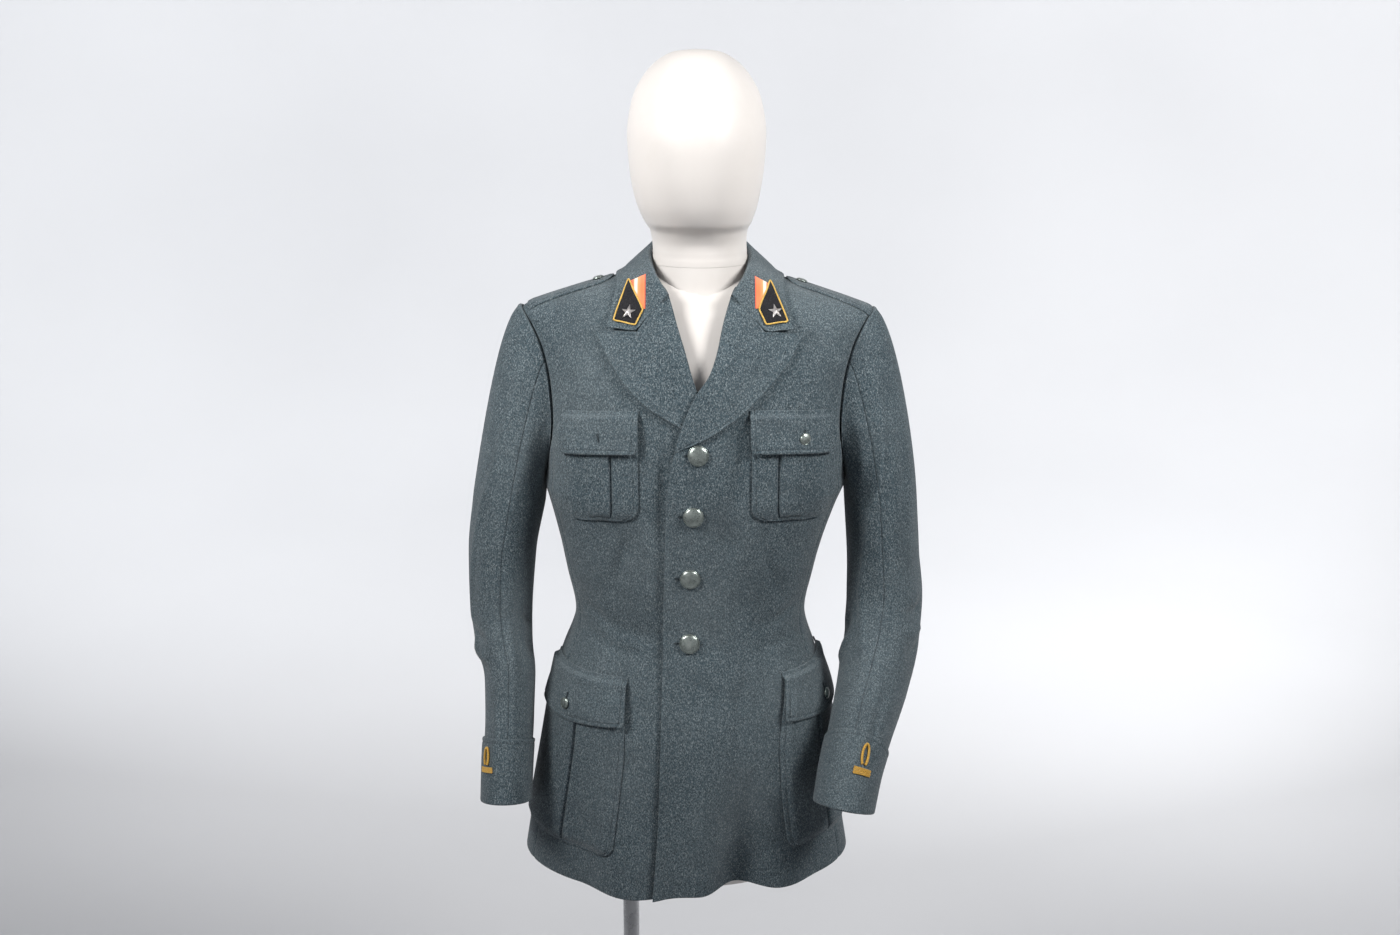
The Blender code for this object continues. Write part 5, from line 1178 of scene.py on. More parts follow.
def onShoulder(x, y, out):
    sweep, level = shoulderPlace(x, y)
    return clothPoint(sweep, level, out)


def strapPiece(word, side):
    inner, outer, half = strapSizes["inner"], strapSizes["outer"], strapSizes["half"]
    mark = inner + (outer - inner) * stops(outer - inner, strapSizes["rows"], sewnRows)
    share = -1 + 2 * stops(2 * half, strapSizes["columns"], sewnRows)
    u, v = np.meshgrid(share, mark)
    into = np.minimum((v - inner) / half, 1.0)
    width = np.maximum(half * np.sqrt(np.maximum(1 - (1 - into) ** 2, 0.0)), strapSizes["tip"])
    pull = strapSizes["pull"] * u * u * ease((v - strapSizes["pullFrom"]) / strapSizes["pullOver"])

    def place(a, b, out):
        return onShoulder(side * (b - pull), strapSizes["y"] + a * width, out)

    return cut("strap_cloth_" + word, place, u, v, wool["lay"], stitched="lrb", seams="t")


# Finishes: shared effects first.
def groupOf(name, inputs, outputs, kind="ShaderNodeTree"):
    # A new node group with sockets such as {"Size": ("Float", 1.0)}, its input and its output.
    tree = bpy.data.node_groups.new(name, kind)
    for label, (socketKind, value) in inputs.items():
        socket = tree.interface.new_socket(label, in_out="INPUT", socket_type="NodeSocket" + socketKind)
        if value is not None:
            socket.default_value = value
    for label, socketKind in outputs.items():
        tree.interface.new_socket(label, in_out="OUTPUT", socket_type="NodeSocket" + socketKind)
    return tree, tree.nodes.new("NodeGroupInput").outputs, tree.nodes.new("NodeGroupOutput")


def fill(tree, made, inputs):
    # Each input gets a link from a socket, or a value.
    for key, value in inputs.items():
        socket = made.inputs[key]
        if isinstance(value, bpy.types.NodeSocket):
            tree.links.new(value, socket)
        else:
            socket.default_value = value
    return made


def newFinish(name):
    made = bpy.data.materials.new(name)
    made.use_nodes = True
    return made, made.node_tree, made.node_tree.nodes["Principled BSDF"]


def node(tree, kind, inputs=None, **settings):
    made = tree.nodes.new(kind)
    for key, value in settings.items():
        setattr(made, key, value)
    return fill(tree, made, inputs or {})


def placeNode(tree):
    return node(tree, "ShaderNodeTexCoord").outputs["Object"]


def bump(tree, strength, distance, height):
    inputs = {"Strength": strength, "Distance": distance, "Height": height}
    return node(tree, "ShaderNodeBump", inputs).outputs["Normal"]


def mixed(tree, share, first, second):
    return node(tree, "ShaderNodeMix", {0: share, 6: first, 7: second}, data_type="RGBA").outputs[2]


def times(tree, first, second, kind="MULTIPLY"):
    return node(tree, "ShaderNodeMath", {0: first, 1: second}, operation=kind).outputs[0]


def plus(tree, first, second):
    return times(tree, first, second, "ADD")


def ranged(tree, value, low, high, toLow=0.0, toHigh=1.0):
    inputs = {"Value": value, "From Min": low, "From Max": high, "To Min": toLow, "To Max": toHigh}
    return node(tree, "ShaderNodeMapRange", inputs).outputs["Result"]


def tinted(tree, colour, layers):
    # Lays colours over a colour, each where its value runs from low to high, up to a share.
    for value, low, high, share, tint in layers:
        colour = mixed(tree, ranged(tree, value, low, high, 0.0, share), colour, tint)
    return colour


def noise(tree, where, scale, detail=3.0, rough=0.55):
    inputs = {"Vector": where, "Scale": scale, "Detail": detail, "Roughness": rough}
    return node(tree, "ShaderNodeTexNoise", inputs).outputs["Fac"]


effectOutputs = {"Colour": "Color", "Height": "Float", "Rough": "Float"}


def makeFeltGroup():
    # Matted fibres: pale and dark hairs over the cloth's colour, and their relief.
    tree, entry, out = groupOf("feltedFibres", {
        "Colour": ("Color", (0.1, 0.1, 0.1, 1)), "Pale": ("Color", (0.3, 0.3, 0.3, 1)),
        "Dark": ("Color", (0.02, 0.02, 0.02, 1)), "Size": ("Float", 1.0)}, effectOutputs)
    where, pale, dark = placeNode(tree), entry["Pale"], entry["Dark"]
    fine, coarse = times(tree, entry["Size"], 720.0), times(tree, entry["Size"], 500.0)
    hair = []
    for turn in ((0.0, 0.85, 0.2), (-0.3, -0.75, -0.4), (0.2, 1.45, 1.1)):
        inputs = {"Vector": where, "Rotation": turn, "Scale": (1.0, 0.9, 0.55)}
        leaning = node(tree, "ShaderNodeMapping", inputs)
        hair.append(noise(tree, leaning.outputs[0], fine, 2.0, 0.65))
    hairs, cross = times(tree, hair[0], hair[1], "MAXIMUM"), hair[2]
    clumps = noise(tree, where, coarse, 3.0, 0.6)
    patches = noise(tree, where, 24.0, 4.0, 0.55)
    broad = noise(tree, where, 6.0, 2.0, 0.5)
    colour = tinted(tree, entry["Colour"], [
        (hairs, 0.54, 0.70, 0.95, pale), (cross, 0.52, 0.36, 0.85, dark), (clumps, 0.50, 0.74, 0.34, pale),
        (patches, 0.50, 0.72, 0.30, dark), (broad, 0.40, 0.75, 0.16, pale)])
    height = plus(tree, times(tree, hairs, 0.5), times(tree, clumps, 0.8))
    fill(tree, out, {"Colour": colour, "Height": plus(tree, height, times(tree, cross, 0.4)),
                     "Rough": ranged(tree, clumps, 0.3, 0.7, 0.82, 1.0)})
    return tree


def makeTwistGroup():
    # The slanted strands of a twisted or braided cord.
    tree, entry, out = groupOf("twistedStrands", {
        "Colour": ("Color", (0.7, 0.4, 0.05, 1)), "Dark": ("Color", (0.3, 0.15, 0.02, 1)),
        "Every": ("Float", 900.0)}, {"Colour": "Color", "Height": "Float"})
    where = placeNode(tree)
    inputs = {"Vector": where, "Scale": entry["Every"], "Distortion": 1.2, "Detail": 1.0}
    waves = node(tree, "ShaderNodeTexWave", inputs, wave_type="BANDS", bands_direction="DIAGONAL")
    strand = waves.outputs["Fac"]
    worn = noise(tree, where, 300.0, 3.0)
    colour = mixed(tree, ranged(tree, strand, 0.05, 0.55, 0.85, 0.0), entry["Colour"], entry["Dark"])
    colour = tinted(tree, colour, [(worn, 0.52, 0.75, 0.35, entry["Dark"])])
    fill(tree, out, {"Colour": colour, "Height": plus(tree, strand, times(tree, worn, 0.4))})
    return tree


def makeWearGroup():
    # Rubbed and dusty places on metal and lacquer.
    tree, entry, out = groupOf("wornFinish", {
        "Colour": ("Color", (0.5, 0.5, 0.5, 1)), "Rubbed": ("Color", (0.7, 0.7, 0.7, 1)),
        "Size": ("Float", 1.0), "Rough": ("Float", 0.3)}, effectOutputs)
    where = placeNode(tree)
    spots = noise(tree, where, times(tree, entry["Size"], 140.0), 5.0, 0.65)
    grains = noise(tree, where, times(tree, entry["Size"], 900.0), 3.0, 0.6)
    fill(tree, out, {"Colour": tinted(tree, entry["Colour"], [(spots, 0.48, 0.68, 0.75, entry["Rubbed"])]),
                     "Height": grains,
                     "Rough": plus(tree, entry["Rough"], ranged(tree, spots, 0.35, 0.7, -0.05, 0.14))})
    return tree


feltGroup, twistGroup, wearGroup = makeFeltGroup(), makeTwistGroup(), makeWearGroup()


def finishFrom(name, group, values, strength, distance, **shader):
    made, tree, base = newFinish(name)
    effect = node(tree, "ShaderNodeGroup", node_tree=group)
    for key, value in values.items():
        effect.inputs[key].default_value = (*value, 1) if isinstance(value, tuple) else value
    fill(tree, base, {"Base Color": effect.outputs["Colour"],
                      "Normal": bump(tree, strength, distance, effect.outputs["Height"])})
    if "Rough" in effect.outputs:
        fill(tree, base, {"Roughness": effect.outputs["Rough"]})
    fill(tree, base, {key.replace("_", " "): value for key, value in shader.items()})
    return made


finishes = {
    "wool": {"Colour": (0.040, 0.064, 0.078), "Pale": (0.236, 0.274, 0.288), "Dark": (0.010, 0.018, 0.025)},
    "felt": {"Colour": (0.010, 0.010, 0.012), "Pale": (0.030, 0.030, 0.034), "Dark": (0.003, 0.003, 0.004)},
    "braid": {"Colour": (0.86, 0.50, 0.050), "Dark": (0.50, 0.25, 0.022), "Every": 640.0},
    "piping": {"Colour": (0.92, 0.60, 0.115), "Dark": (0.66, 0.37, 0.050), "Every": 900.0},
    "thread": {"Colour": (0.036, 0.050, 0.058), "Dark": (0.014, 0.021, 0.026), "Every": 1500.0},
    "button": {"Colour": (0.330, 0.375, 0.350), "Rubbed": (0.560, 0.600, 0.570), "Size": 1.0, "Rough": 0.27},
    "star": {"Colour": (0.60, 0.57, 0.56), "Rubbed": (0.86, 0.83, 0.81), "Size": 1.5, "Rough": 0.34},
    "form": {"Colour": (0.665, 0.632, 0.604), "Rubbed": (0.635, 0.598, 0.566), "Size": 0.06, "Rough": 0.50},
    "steel": {"Colour": (0.50, 0.50, 0.51), "Rubbed": (0.57, 0.57, 0.575), "Size": 0.25, "Rough": 0.26},
}
woolCloth = finishFrom("woolCloth", feltGroup, finishes["wool"], 0.70, 0.0006, Sheen_Weight=0.12,
                       Sheen_Roughness=0.6, Specular_IOR_Level=0.15)
blackFelt = finishFrom("blackFelt", feltGroup, finishes["felt"], 0.6, 0.0004, Sheen_Weight=0.15,
                       Specular_IOR_Level=0.2)
braidCord = finishFrom("braidCord", twistGroup, finishes["braid"], 0.8, 0.0005, Roughness=0.62,
                       Sheen_Weight=0.3)
pipingCord = finishFrom("pipingCord", twistGroup, finishes["piping"], 0.7, 0.0004, Roughness=0.65,
                        Sheen_Weight=0.3)
buttonMetal = finishFrom("buttonMetal", wearGroup, finishes["button"], 0.10, 0.0003, Metallic=0.85)
starMetal = finishFrom("starMetal", wearGroup, finishes["star"], 0.25, 0.0003, Metallic=0.9)
formShell = finishFrom("formShell", wearGroup, finishes["form"], 0.04, 0.0003, Coat_Weight=0.15)
stillSteel = finishFrom("stillSteel", wearGroup, finishes["steel"], 0.05, 0.0002, Metallic=1.0)
threadFinish = finishFrom("sewingThread", twistGroup, finishes["thread"], 0.5, 0.0002, Roughness=0.8)


def makeRibbonFinish():
    # A ribbed orange ribbon with a white stripe, along the ribbon's own UV.
    made, tree, base = newFinish("orangeRibbon")
    layer = node(tree, "ShaderNodeUVMap", uv_map="ribbon")
    u, v, _ = node(tree, "ShaderNodeSeparateXYZ", {0: layer.outputs[0]}).outputs
    ribs = node(tree, "ShaderNodeMath", {0: times(tree, v, 260.0)}, operation="SINE").outputs[0]
    colour = tinted(tree, (0.76, 0.085, 0.045, 1), [
        (u, 0.0, 0.10, 1.0, (0.87, 0.215, 0.075, 1)), (u, 0.30, 0.55, 1.0, (0.90, 0.34, 0.125, 1)),
        (u, 0.84, 0.90, 1.0, (0.83, 0.15, 0.055, 1))])
    stripe = times(tree, ranged(tree, u, 0.56, 0.62), ranged(tree, u, 0.86, 0.78))
    colour = mixed(tree, stripe, colour, (0.93, 0.80, 0.70, 1))
    colour = tinted(tree, colour, [(ribs, 0.0, -1.0, 0.10, (0.45, 0.12, 0.03, 1))])
    fill(tree, base, {"Base Color": colour, "Normal": bump(tree, 0.5, 0.0003, ribs), "Roughness": 0.55,
                      "Sheen Weight": 0.3})
    return made


orangeRibbon = makeRibbonFinish()
print("finishes made")

# The cloth is cut.
clothes = {}
makers = {
    "front": frontPanel, "side": sidePanel, "back": backPanel, "sleeve_under": sleeveUnder,
    "sleeve_upper": sleeveUpper, "cuff": cuffPiece, "lapel": lapelPiece, "chest_pocket": chestPocketPiece,
    "chest_flap": chestFlapPiece, "lower_pocket": lowerPocketPiece, "lower_flap": lowerFlapPiece,
    "strap": strapPiece,
}
for word, side in sides.items():
    for kind, make in makers.items():
        clothes[kind + "_" + word] = make(word, side)
clothes["collar"] = collarPiece()
print("cloth cut")

# What is sewn on the collar, by distance from the middle and height.
patchCorners = {
    "right": [(0.0860, 1.4776), (0.0688, 1.4458), (0.0776, 1.4290), (0.1042, 1.4330)],
    "left": [(0.0847, 1.4758), (0.0712, 1.4458), (0.0795, 1.4290), (0.1060, 1.4310)],
}
ribbonCorners = {
    "right": [(0.0838, 1.4768), (0.0657, 1.4850), (0.0657, 1.4470), (0.0705, 1.4470)],
    "left": [(0.0825, 1.4740), (0.0665, 1.4825), (0.0665, 1.4470), (0.0725, 1.4470)],
}
starPlaces = {"right": (0.0855, 1.4417), "left": (0.0903, 1.4417)}
badges = {
    "patchLay": 0.0013, "ribbonLay": 0.0003, "ribbonWall": 0.0006, "starLay": 0.0002, "pipingLay": 0.0019,
    "pipingOut": 0.0006, "pipingRadius": 0.00105, "pipingAt": (0.06, 0.35, 0.65, 0.94), "pipingPoints": 480,
    "pipingPitch": 0.0036, "across": 30, "ribbonWide": 0.0165, "ribbonLong": 0.03, "edgeRadius": 0.0009,
}
starSizes = {
    "radius": 0.0095, "valley": 0.40, "height": 0.0027, "rings": ((0.0, 1.0), (0.0007, 1.0), (0.0009, 0.93)),
    "bevel": 0.00018,
}
collarTree = BVHTree.FromObject(clothes["collar"], bpy.context.evaluated_depsgraph_get())


def onCollar(side, x, z):
    # Where the collar's face lies behind a place seen from the front.
    spot = collarTree.ray_cast(Vector((side * x, -0.4, z)), Vector((0.0, 1.0, 0.0)))[0]
    return np.array(spot or (side * x, -0.09, z))


def collarNormal(side, x, z, step):
    here = onCollar(side, x, z)
    normal = unit(np.cross(onCollar(side, x + step, z) - here, onCollar(side, x, z - step) - here))
    return here, normal * -np.sign(normal[1])


def cornered(corners, count):
    a, b, c, d = [np.array(corner) for corner in corners]
    u, v = [share[..., None] for share in np.meshgrid(*[np.linspace(0, 1, count)] * 2)]
    return (a + (b - a) * u) * (1 - v) + (d + (c - d) * u) * v


def collarSheet(name, side, corners, low, wall, material):
    count = badges["across"]
    spots = cornered(corners, count)
    points = np.array([[onCollar(side, x, z) for x, z in row] for row in spots])
    normal = gridNormals(points)
    normal = normal * -np.sign(normal[..., 1:2])
    rise = np.minimum.reduce([edgeRise(distance, badges["edgeRadius"]) for distance in edgeDistances(points)])
    outer = points + normal * (low + wall * rise)[..., None]
    made = shellOf(name, outer, points + normal * low, material)
    # the ribbon's stripes run down from its top, and count from its inner edge
    layer = made.data.uv_layers.new(name="ribbon")
    innerX, topZ = corners[1]
    spots = spots.reshape(-1, 2)
    for loop in made.data.loops:
        x, z = spots[loop.vertex_index % (count * count)]
        layer.data[loop.index].uv = (x - innerX) / badges["ribbonWide"], (topZ - z) / badges["ribbonLong"]
    return made


def throughLoop(points, count, closed=True):
    # Evenly spaced places on a smooth curve through points.
    points = np.array(points, float)
    total = len(points)
    last = total if closed else total - 1
    made = []
    for at in np.linspace(0, last, 16 * last + 1)[:-1 if closed else None]:
        i = min(int(at), last - 1)
        near = [(i + k) % total if closed else min(max(i + k, 0), total - 1) for k in (-1, 0, 1, 2)]
        made.append(between(*points[near], at - i))
    made = np.array(made + made[:1] if closed else made)
    way = np.concatenate([[0.0], np.cumsum(np.linalg.norm(np.diff(made, axis=0), axis=1))])
    even = np.linspace(0, way[-1], count + 1)[:-1 if closed else None]
    return np.stack([np.interp(even, way, made[:, axis]) for axis in range(3)], axis=-1)


def tubes(name, paths, radius, material, closed=True, around=7):
    # Round strands through paths of points, in one mesh.
    points, faces = [], []
    turns = np.arange(around) / around * math.tau
    for path in paths:
        after, before = np.roll(path, -1, axis=0), np.roll(path, 1, axis=0)
        if not closed:
            after[-1], before[0] = path[-1] * 2 - path[-2], path[0] * 2 - path[1]
        along = unit(after - before)
        first = unit(np.cross(along, np.array([0.31, 0.85, 0.42])))
        second = np.cross(along, first)
        start, count = len(points), len(path)
        for spot, a, b in zip(path, first, second):
            points += [spot + (a * math.cos(t) + b * math.sin(t)) * radius for t in turns]
        faces += ringFaces(count, around, start, closed)
        if not closed:
            last = start + (count - 1) * around
            faces += [range(start, start + around), range(last, last + around)]
    return meshOf(name, points, faces, material, 80)


def twisted(name, route, radius, material, strands, pitch, closed=True):
    # Strands laid round each other along a route, so that they make a cord.
    along = np.roll(route, -1, axis=0) - np.roll(route, 1, axis=0) if closed else np.gradient(route, axis=0)
    along = unit(along)
    first = unit(np.cross(along, np.array([0.0, 1.0, 0.0])))
    second = np.cross(along, first)
    count = len(route)
    turns = round(np.linalg.norm(np.diff(route, axis=0), axis=1).mean() * count / pitch)
    thin = radius / (1 + 1 / math.sin(math.pi / strands) * 0.62)
    paths = []
    for k in range(strands):
        angle = (np.arange(count) / count * turns + k / strands)[:, None] * math.tau
        paths.append(route + (first * np.cos(angle) + second * np.sin(angle)) * (radius - thin))
    return tubes(name, paths, thin, material, closed)


def pipingPiece(word, side):
    corners = np.array(patchCorners[word])
    middle = corners.mean(axis=0)
    route = []
    for start, end in zip(corners, np.roll(corners, -1, axis=0)):
        for share in badges["pipingAt"]:
            spot = start + (end - start) * share
            here, normal = collarNormal(side, *(spot + unit(spot - middle) * badges["pipingOut"]), 0.002)
            route.append(here + normal * badges["pipingLay"])
    route, name = throughLoop(route, badges["pipingPoints"]), "collar_piping_cord_" + word
    return twisted(name, route, badges["pipingRadius"], pipingCord, 3, badges["pipingPitch"])


def starPiece(word, side):
    # A five-pointed star: each ray has a ridge down its middle and a low rim.
    here, normal = collarNormal(side, *starPlaces[word], 0.004)
    top = unit(upward - normal * normal[2])
    across = np.cross(top, normal)
    here = here + normal * (badges["patchLay"] + wool["thin"] + badges["starLay"])
    shape = bmesh.new()
    for height, grow in starSizes["rings"]:
        for i in range(10):
            reach = starSizes["radius"] * (1.0 if i % 2 == 0 else starSizes["valley"]) * grow
            turn = math.radians(36 * i)
            shape.verts.new(here + (top * math.cos(turn) + across * math.sin(turn)) * reach + normal * height)
    peak = shape.verts.new(here + normal * starSizes["height"])
    verts = list(shape.verts)
    shape.faces.new(verts[:10])
    for face in ringFaces(3, 10):
        shape.faces.new([verts[i] for i in face])
    for i in range(10):
        shape.faces.new((verts[20 + i], verts[20 + (i + 1) % 10], peak))
    bmesh.ops.recalc_face_normals(shape, faces=shape.faces)
    bmesh.ops.bevel(shape, geom=shape.edges[:], offset=starSizes["bevel"], segments=2, profile=0.5,
                    affect="EDGES")
    mesh = bpy.data.meshes.new("collar_star_metal_" + word)
    shape.to_mesh(mesh)
    shape.free()
    return addObject("collar_star_metal_" + word, smoothed(mesh, 35), starMetal)


# Braid on the cuffs.
braids = {
    "right": {"around": 0.152, "below": 0.034, "halfTurn": 0.046},
    "left": {"around": 0.205, "below": 0.034, "halfTurn": 0.042},
}
braidSizes = {
    "bar": 0.0065, "loopHeight": 0.0105, "loopTurn": 0.0150, "radius": 0.0017, "lay": 0.0007, "ribs": 5,
    "points": 120, "waveAcross": 0.00022, "waveUp": 0.00012, "waveTurn": 0.9, "pitch": 0.0050,
}


def cuffSpot(word, side):
    # A place on the cuff's face, by the way round and the metres below its upper edge.
    start, place, face = cuffStart(word), sleeveCloth(word, side), wool["lay"] + wool["wall"]
    down = (1 - start) / cuffSizes["height"]
    return lambda around, below, out: place(around, start + below * down, face + out)


def cuffBar(word, side):
    # A flat braid: cords side by side, lying across the cuff.
    mark, spot = braids[word], cuffSpot(word, side)
    count, each = braidSizes["points"], braidSizes["bar"] / braidSizes["ribs"]
    across = mark["around"] + mark["halfTurn"] * np.linspace(-1, 1, count)
    turn = np.arange(count) * braidSizes["waveTurn"]
    paths = []
    for rib in range(braidSizes["ribs"]):
        below = mark["below"] + each * (rib + 0.5) + braidSizes["waveAcross"] * np.sin(turn + rib * math.pi)
        out = braidSizes["lay"] + each * 0.5 + braidSizes["waveUp"] * np.cos(turn + rib * 2)
        paths.append(spot(across, below, out))
    return tubes("cuff_bar_braid_" + word, paths, each * 0.56, braidCord, closed=False, around=8)


def cuffLoop(word, side):
    mark, spot = braids[word], cuffSpot(word, side)
    radius, tall = braidSizes["radius"], braidSizes["loopHeight"]
    angle = np.radians(np.linspace(-60, 240, 15))
    around = mark["around"] + braidSizes["loopTurn"] * np.cos(angle)
    below = mark["below"] - tall - radius - tall * np.sin(angle)
    route = throughLoop(spot(around, below, radius + 0.0001), 260, closed=False)
    return twisted("cuff_loop_cord_" + word, route, radius, braidCord, 3, braidSizes["pitch"], closed=False)


# Buttons: a domed cap with a beaded rim, turned about its own axis.
buttonSizes = {
    "radius": 0.0127, "small": 0.0073, "gap": 0.0005, "rise": 0.42, "steps": 72,
    "dome": 0.925, "domeFoot": 0.34, "groove": 0.932, "rimMiddle": 0.962, "rimZ": 0.30, "rim": (0.038, 0.050),
}
frontButtons = [(-0.002, 1.2775), (-0.008, 1.2015), (-0.012, 1.1195), (-0.013, 1.0325)]
flapButtons = {"lower": (0.50, 0.9400), "chest": (0.1225, 1.2960)}


def turnedPiece(name, profile, place, axis, material, steps, sharp=40):
    # A profile of radii and heights turned about an axis through place.
    axis = unit(np.asarray(axis, float))
    aside = np.array([0.0, 0.3, 1.0]) if abs(axis[2]) < 0.9 else np.array([0.0, 1.0, 0.0])
    first = unit(np.cross(axis, aside))
    angle = (np.arange(steps) / steps * math.tau)[:, None]
    circle = first * np.cos(angle) + np.cross(axis, first) * np.sin(angle)
    rings = [place + axis * h + circle * r for r, h in profile[1:-1]]
    ends = [place + axis * profile[i][1] for i in (0, -1)]
    return lofted(name, rings, material, sharp, ends)


def buttonProfile(radius):
    # Radii and heights: the dome, the groove round it, the rim and the flat back.
    rise = radius * buttonSizes["rise"]
    foot, rimZ = rise * buttonSizes["domeFoot"], rise * buttonSizes["rimZ"]
    dome, groove, middle = [radius * buttonSizes[name] for name in ("dome", "groove", "rimMiddle")]
    wide, high = [radius * share for share in buttonSizes["rim"]]
    profile = [(0.0, rise)]
    for turn in np.linspace(0.06, 1.0, 16) * math.pi / 2:
        profile.append((dome * math.sin(turn), foot + (rise - foot) * math.cos(turn)))
    profile.append((groove, rimZ))
    for turn in math.pi * (1 - np.linspace(0.15, 1.0, 8) * 1.25):
        profile.append((middle + wide * math.cos(turn), rimZ + high * math.sin(turn)))
    return profile + [(radius * 0.975, rise * 0.10), (radius * 0.90, 0.0), (0.0, 0.0)]


def seatedButton(name, place, x, z, radius, wide=1.0):
    # It stands clear of the highest place under its rim.
    middle = place(np.array(x), np.array(z), 0.0)
    axis = unit(place(np.array(x), np.array(z), 0.01) - middle)
    turn = np.arange(12) / 12 * math.tau
    rim = place(x + radius * wide * np.cos(turn), z + radius * np.sin(turn), 0.0)
    highest = max(dot(rim - middle, axis).max(), 0.0)
    spot = middle + axis * (highest + buttonSizes["gap"])
    return turnedPiece(name, buttonProfile(radius), spot, axis, buttonMetal, buttonSizes["steps"])


def onLap(x, z, out):
    return onFront(x, z, out, True)


def chestFlapFace(word, side):
    pocket, place = chestPockets[word], chestPlace(word, side)
    return lambda x, z, out: place(x, z, chestFlapHeight(pocket, x, z) + wool["wall"] + out)


def lowerFlapFace(word, side):
    pocket, place = lowerPockets[word], lowerPlace(word, side)
    return lambda share, z, out: place(share, z, lowerFlapHeight(pocket, share, z) + wool["wall"] + out)


def onStrap(x, y, out):
    return onShoulder(x, y, wool["lay"] + wool["wall"] + out)


trims = {}
lowerWide = 1 / pocketSizes["around"]
radius, small = buttonSizes["radius"], buttonSizes["small"]
for word, side in sides.items():
    trims["collar_patch_" + word] = collarSheet(
        "collar_patch_felt_" + word, side, patchCorners[word], badges["patchLay"], wool["thin"], blackFelt)
    trims["collar_ribbon_" + word] = collarSheet(
        "collar_ribbon_strip_" + word, side, ribbonCorners[word], badges["ribbonLay"], badges["ribbonWall"],
        orangeRibbon)
    trims["collar_piping_" + word] = pipingPiece(word, side)
    trims["collar_star_" + word] = starPiece(word, side)
    trims["cuff_bar_" + word] = cuffBar(word, side)
    trims["cuff_loop_" + word] = cuffLoop(word, side)
    trims["button_lower_" + word] = seatedButton(
        "button_lower_cap_" + word, lowerFlapFace(word, side), *flapButtons["lower"], small, lowerWide)
    trims["button_strap_" + word] = seatedButton(
        "button_strap_cap_" + word, onStrap, side * strapSizes["buttonX"], strapSizes["y"], small)
for number, (x, z) in enumerate(frontButtons, 1):
    trims["button_front_%d" % number] = seatedButton("button_front_cap_%d" % number, onLap, x, z, radius)
trims["button_chest_left"] = seatedButton(
    "button_chest_cap_left", chestFlapFace("left", 1), *flapButtons["chest"], small)
print("trimmings made")

# Buttonholes: a keyhole worked round with thread, open in the middle.
buttonholes = {
    "eye": 0.0013, "half": 0.0006, "thread": 0.0004, "lay": 0.0003, "front": 0.014, "flap": 0.012,
    "beside": -0.0170, "lower": (0.50, 0.9520, -90.0), "chestRight": (-0.1195, 1.3010, -82.0),
    "chestLeft": (0.1225, 1.3060, -90.0), "points": 90,
}
holes = []


def keyhole(place, x, z, lean, length, wide=1.0):
    # The path round a buttonhole, from its eye at x and z along its slit.
    eye, half = buttonholes["eye"], buttonholes["half"]
    path = [(eye * math.cos(a), eye * math.sin(a)) for a in np.radians(np.linspace(35, 325, 15))]
    path += [(length * t, -half) for t in (0.3, 0.6, 0.9)] + [(length, 0.0)]
    path += [(length * t, half) for t in (0.9, 0.6, 0.3)]
    a, b = np.array(path).T
    turn = math.radians(lean)
    across = (a * math.cos(turn) - b * math.sin(turn)) * wide
    up = a * math.sin(turn) + b * math.cos(turn)
    return throughLoop(place(x + across, z + up, buttonholes["lay"]), buttonholes["points"])


for x, z in frontButtons:
    holes.append(keyhole(onLap, x + buttonholes["beside"], z, 0.0, buttonholes["front"]))
holes.append(keyhole(chestFlapFace("right", -1), *buttonholes["chestRight"], buttonholes["flap"]))
for word, side in sides.items():
    holes.append(keyhole(lowerFlapFace(word, side), *buttonholes["lower"], buttonholes["flap"], lowerWide))
holes.append(keyhole(chestFlapFace("left", 1), *buttonholes["chestLeft"], buttonholes["flap"]))
buttonholeCord = tubes("buttonhole_cord", holes, buttonholes["thread"], threadFinish)


# Stitches laid along the sewn paths.
def pathsObject(name, paths, closed):
    points, edges = [], []
    for path in paths:
        start = len(points)
        points += [tuple(p) for p in path]
        edges += [(start + i, start + i + 1) for i in range(len(path) - 1)]
        if closed:
            edges.append((start + len(path) - 1, start))
    mesh = bpy.data.meshes.new(name)
    mesh.from_pydata(points, edges, [])
    return addObject(name, mesh)


def evaluated(base, name):
    # The mesh that an object's modifiers make, and the object is taken away.
    mesh = bpy.data.meshes.new_from_object(base.evaluated_get(bpy.context.evaluated_depsgraph_get()))
    mesh.name = name
    bpy.data.objects.remove(base)
    return mesh


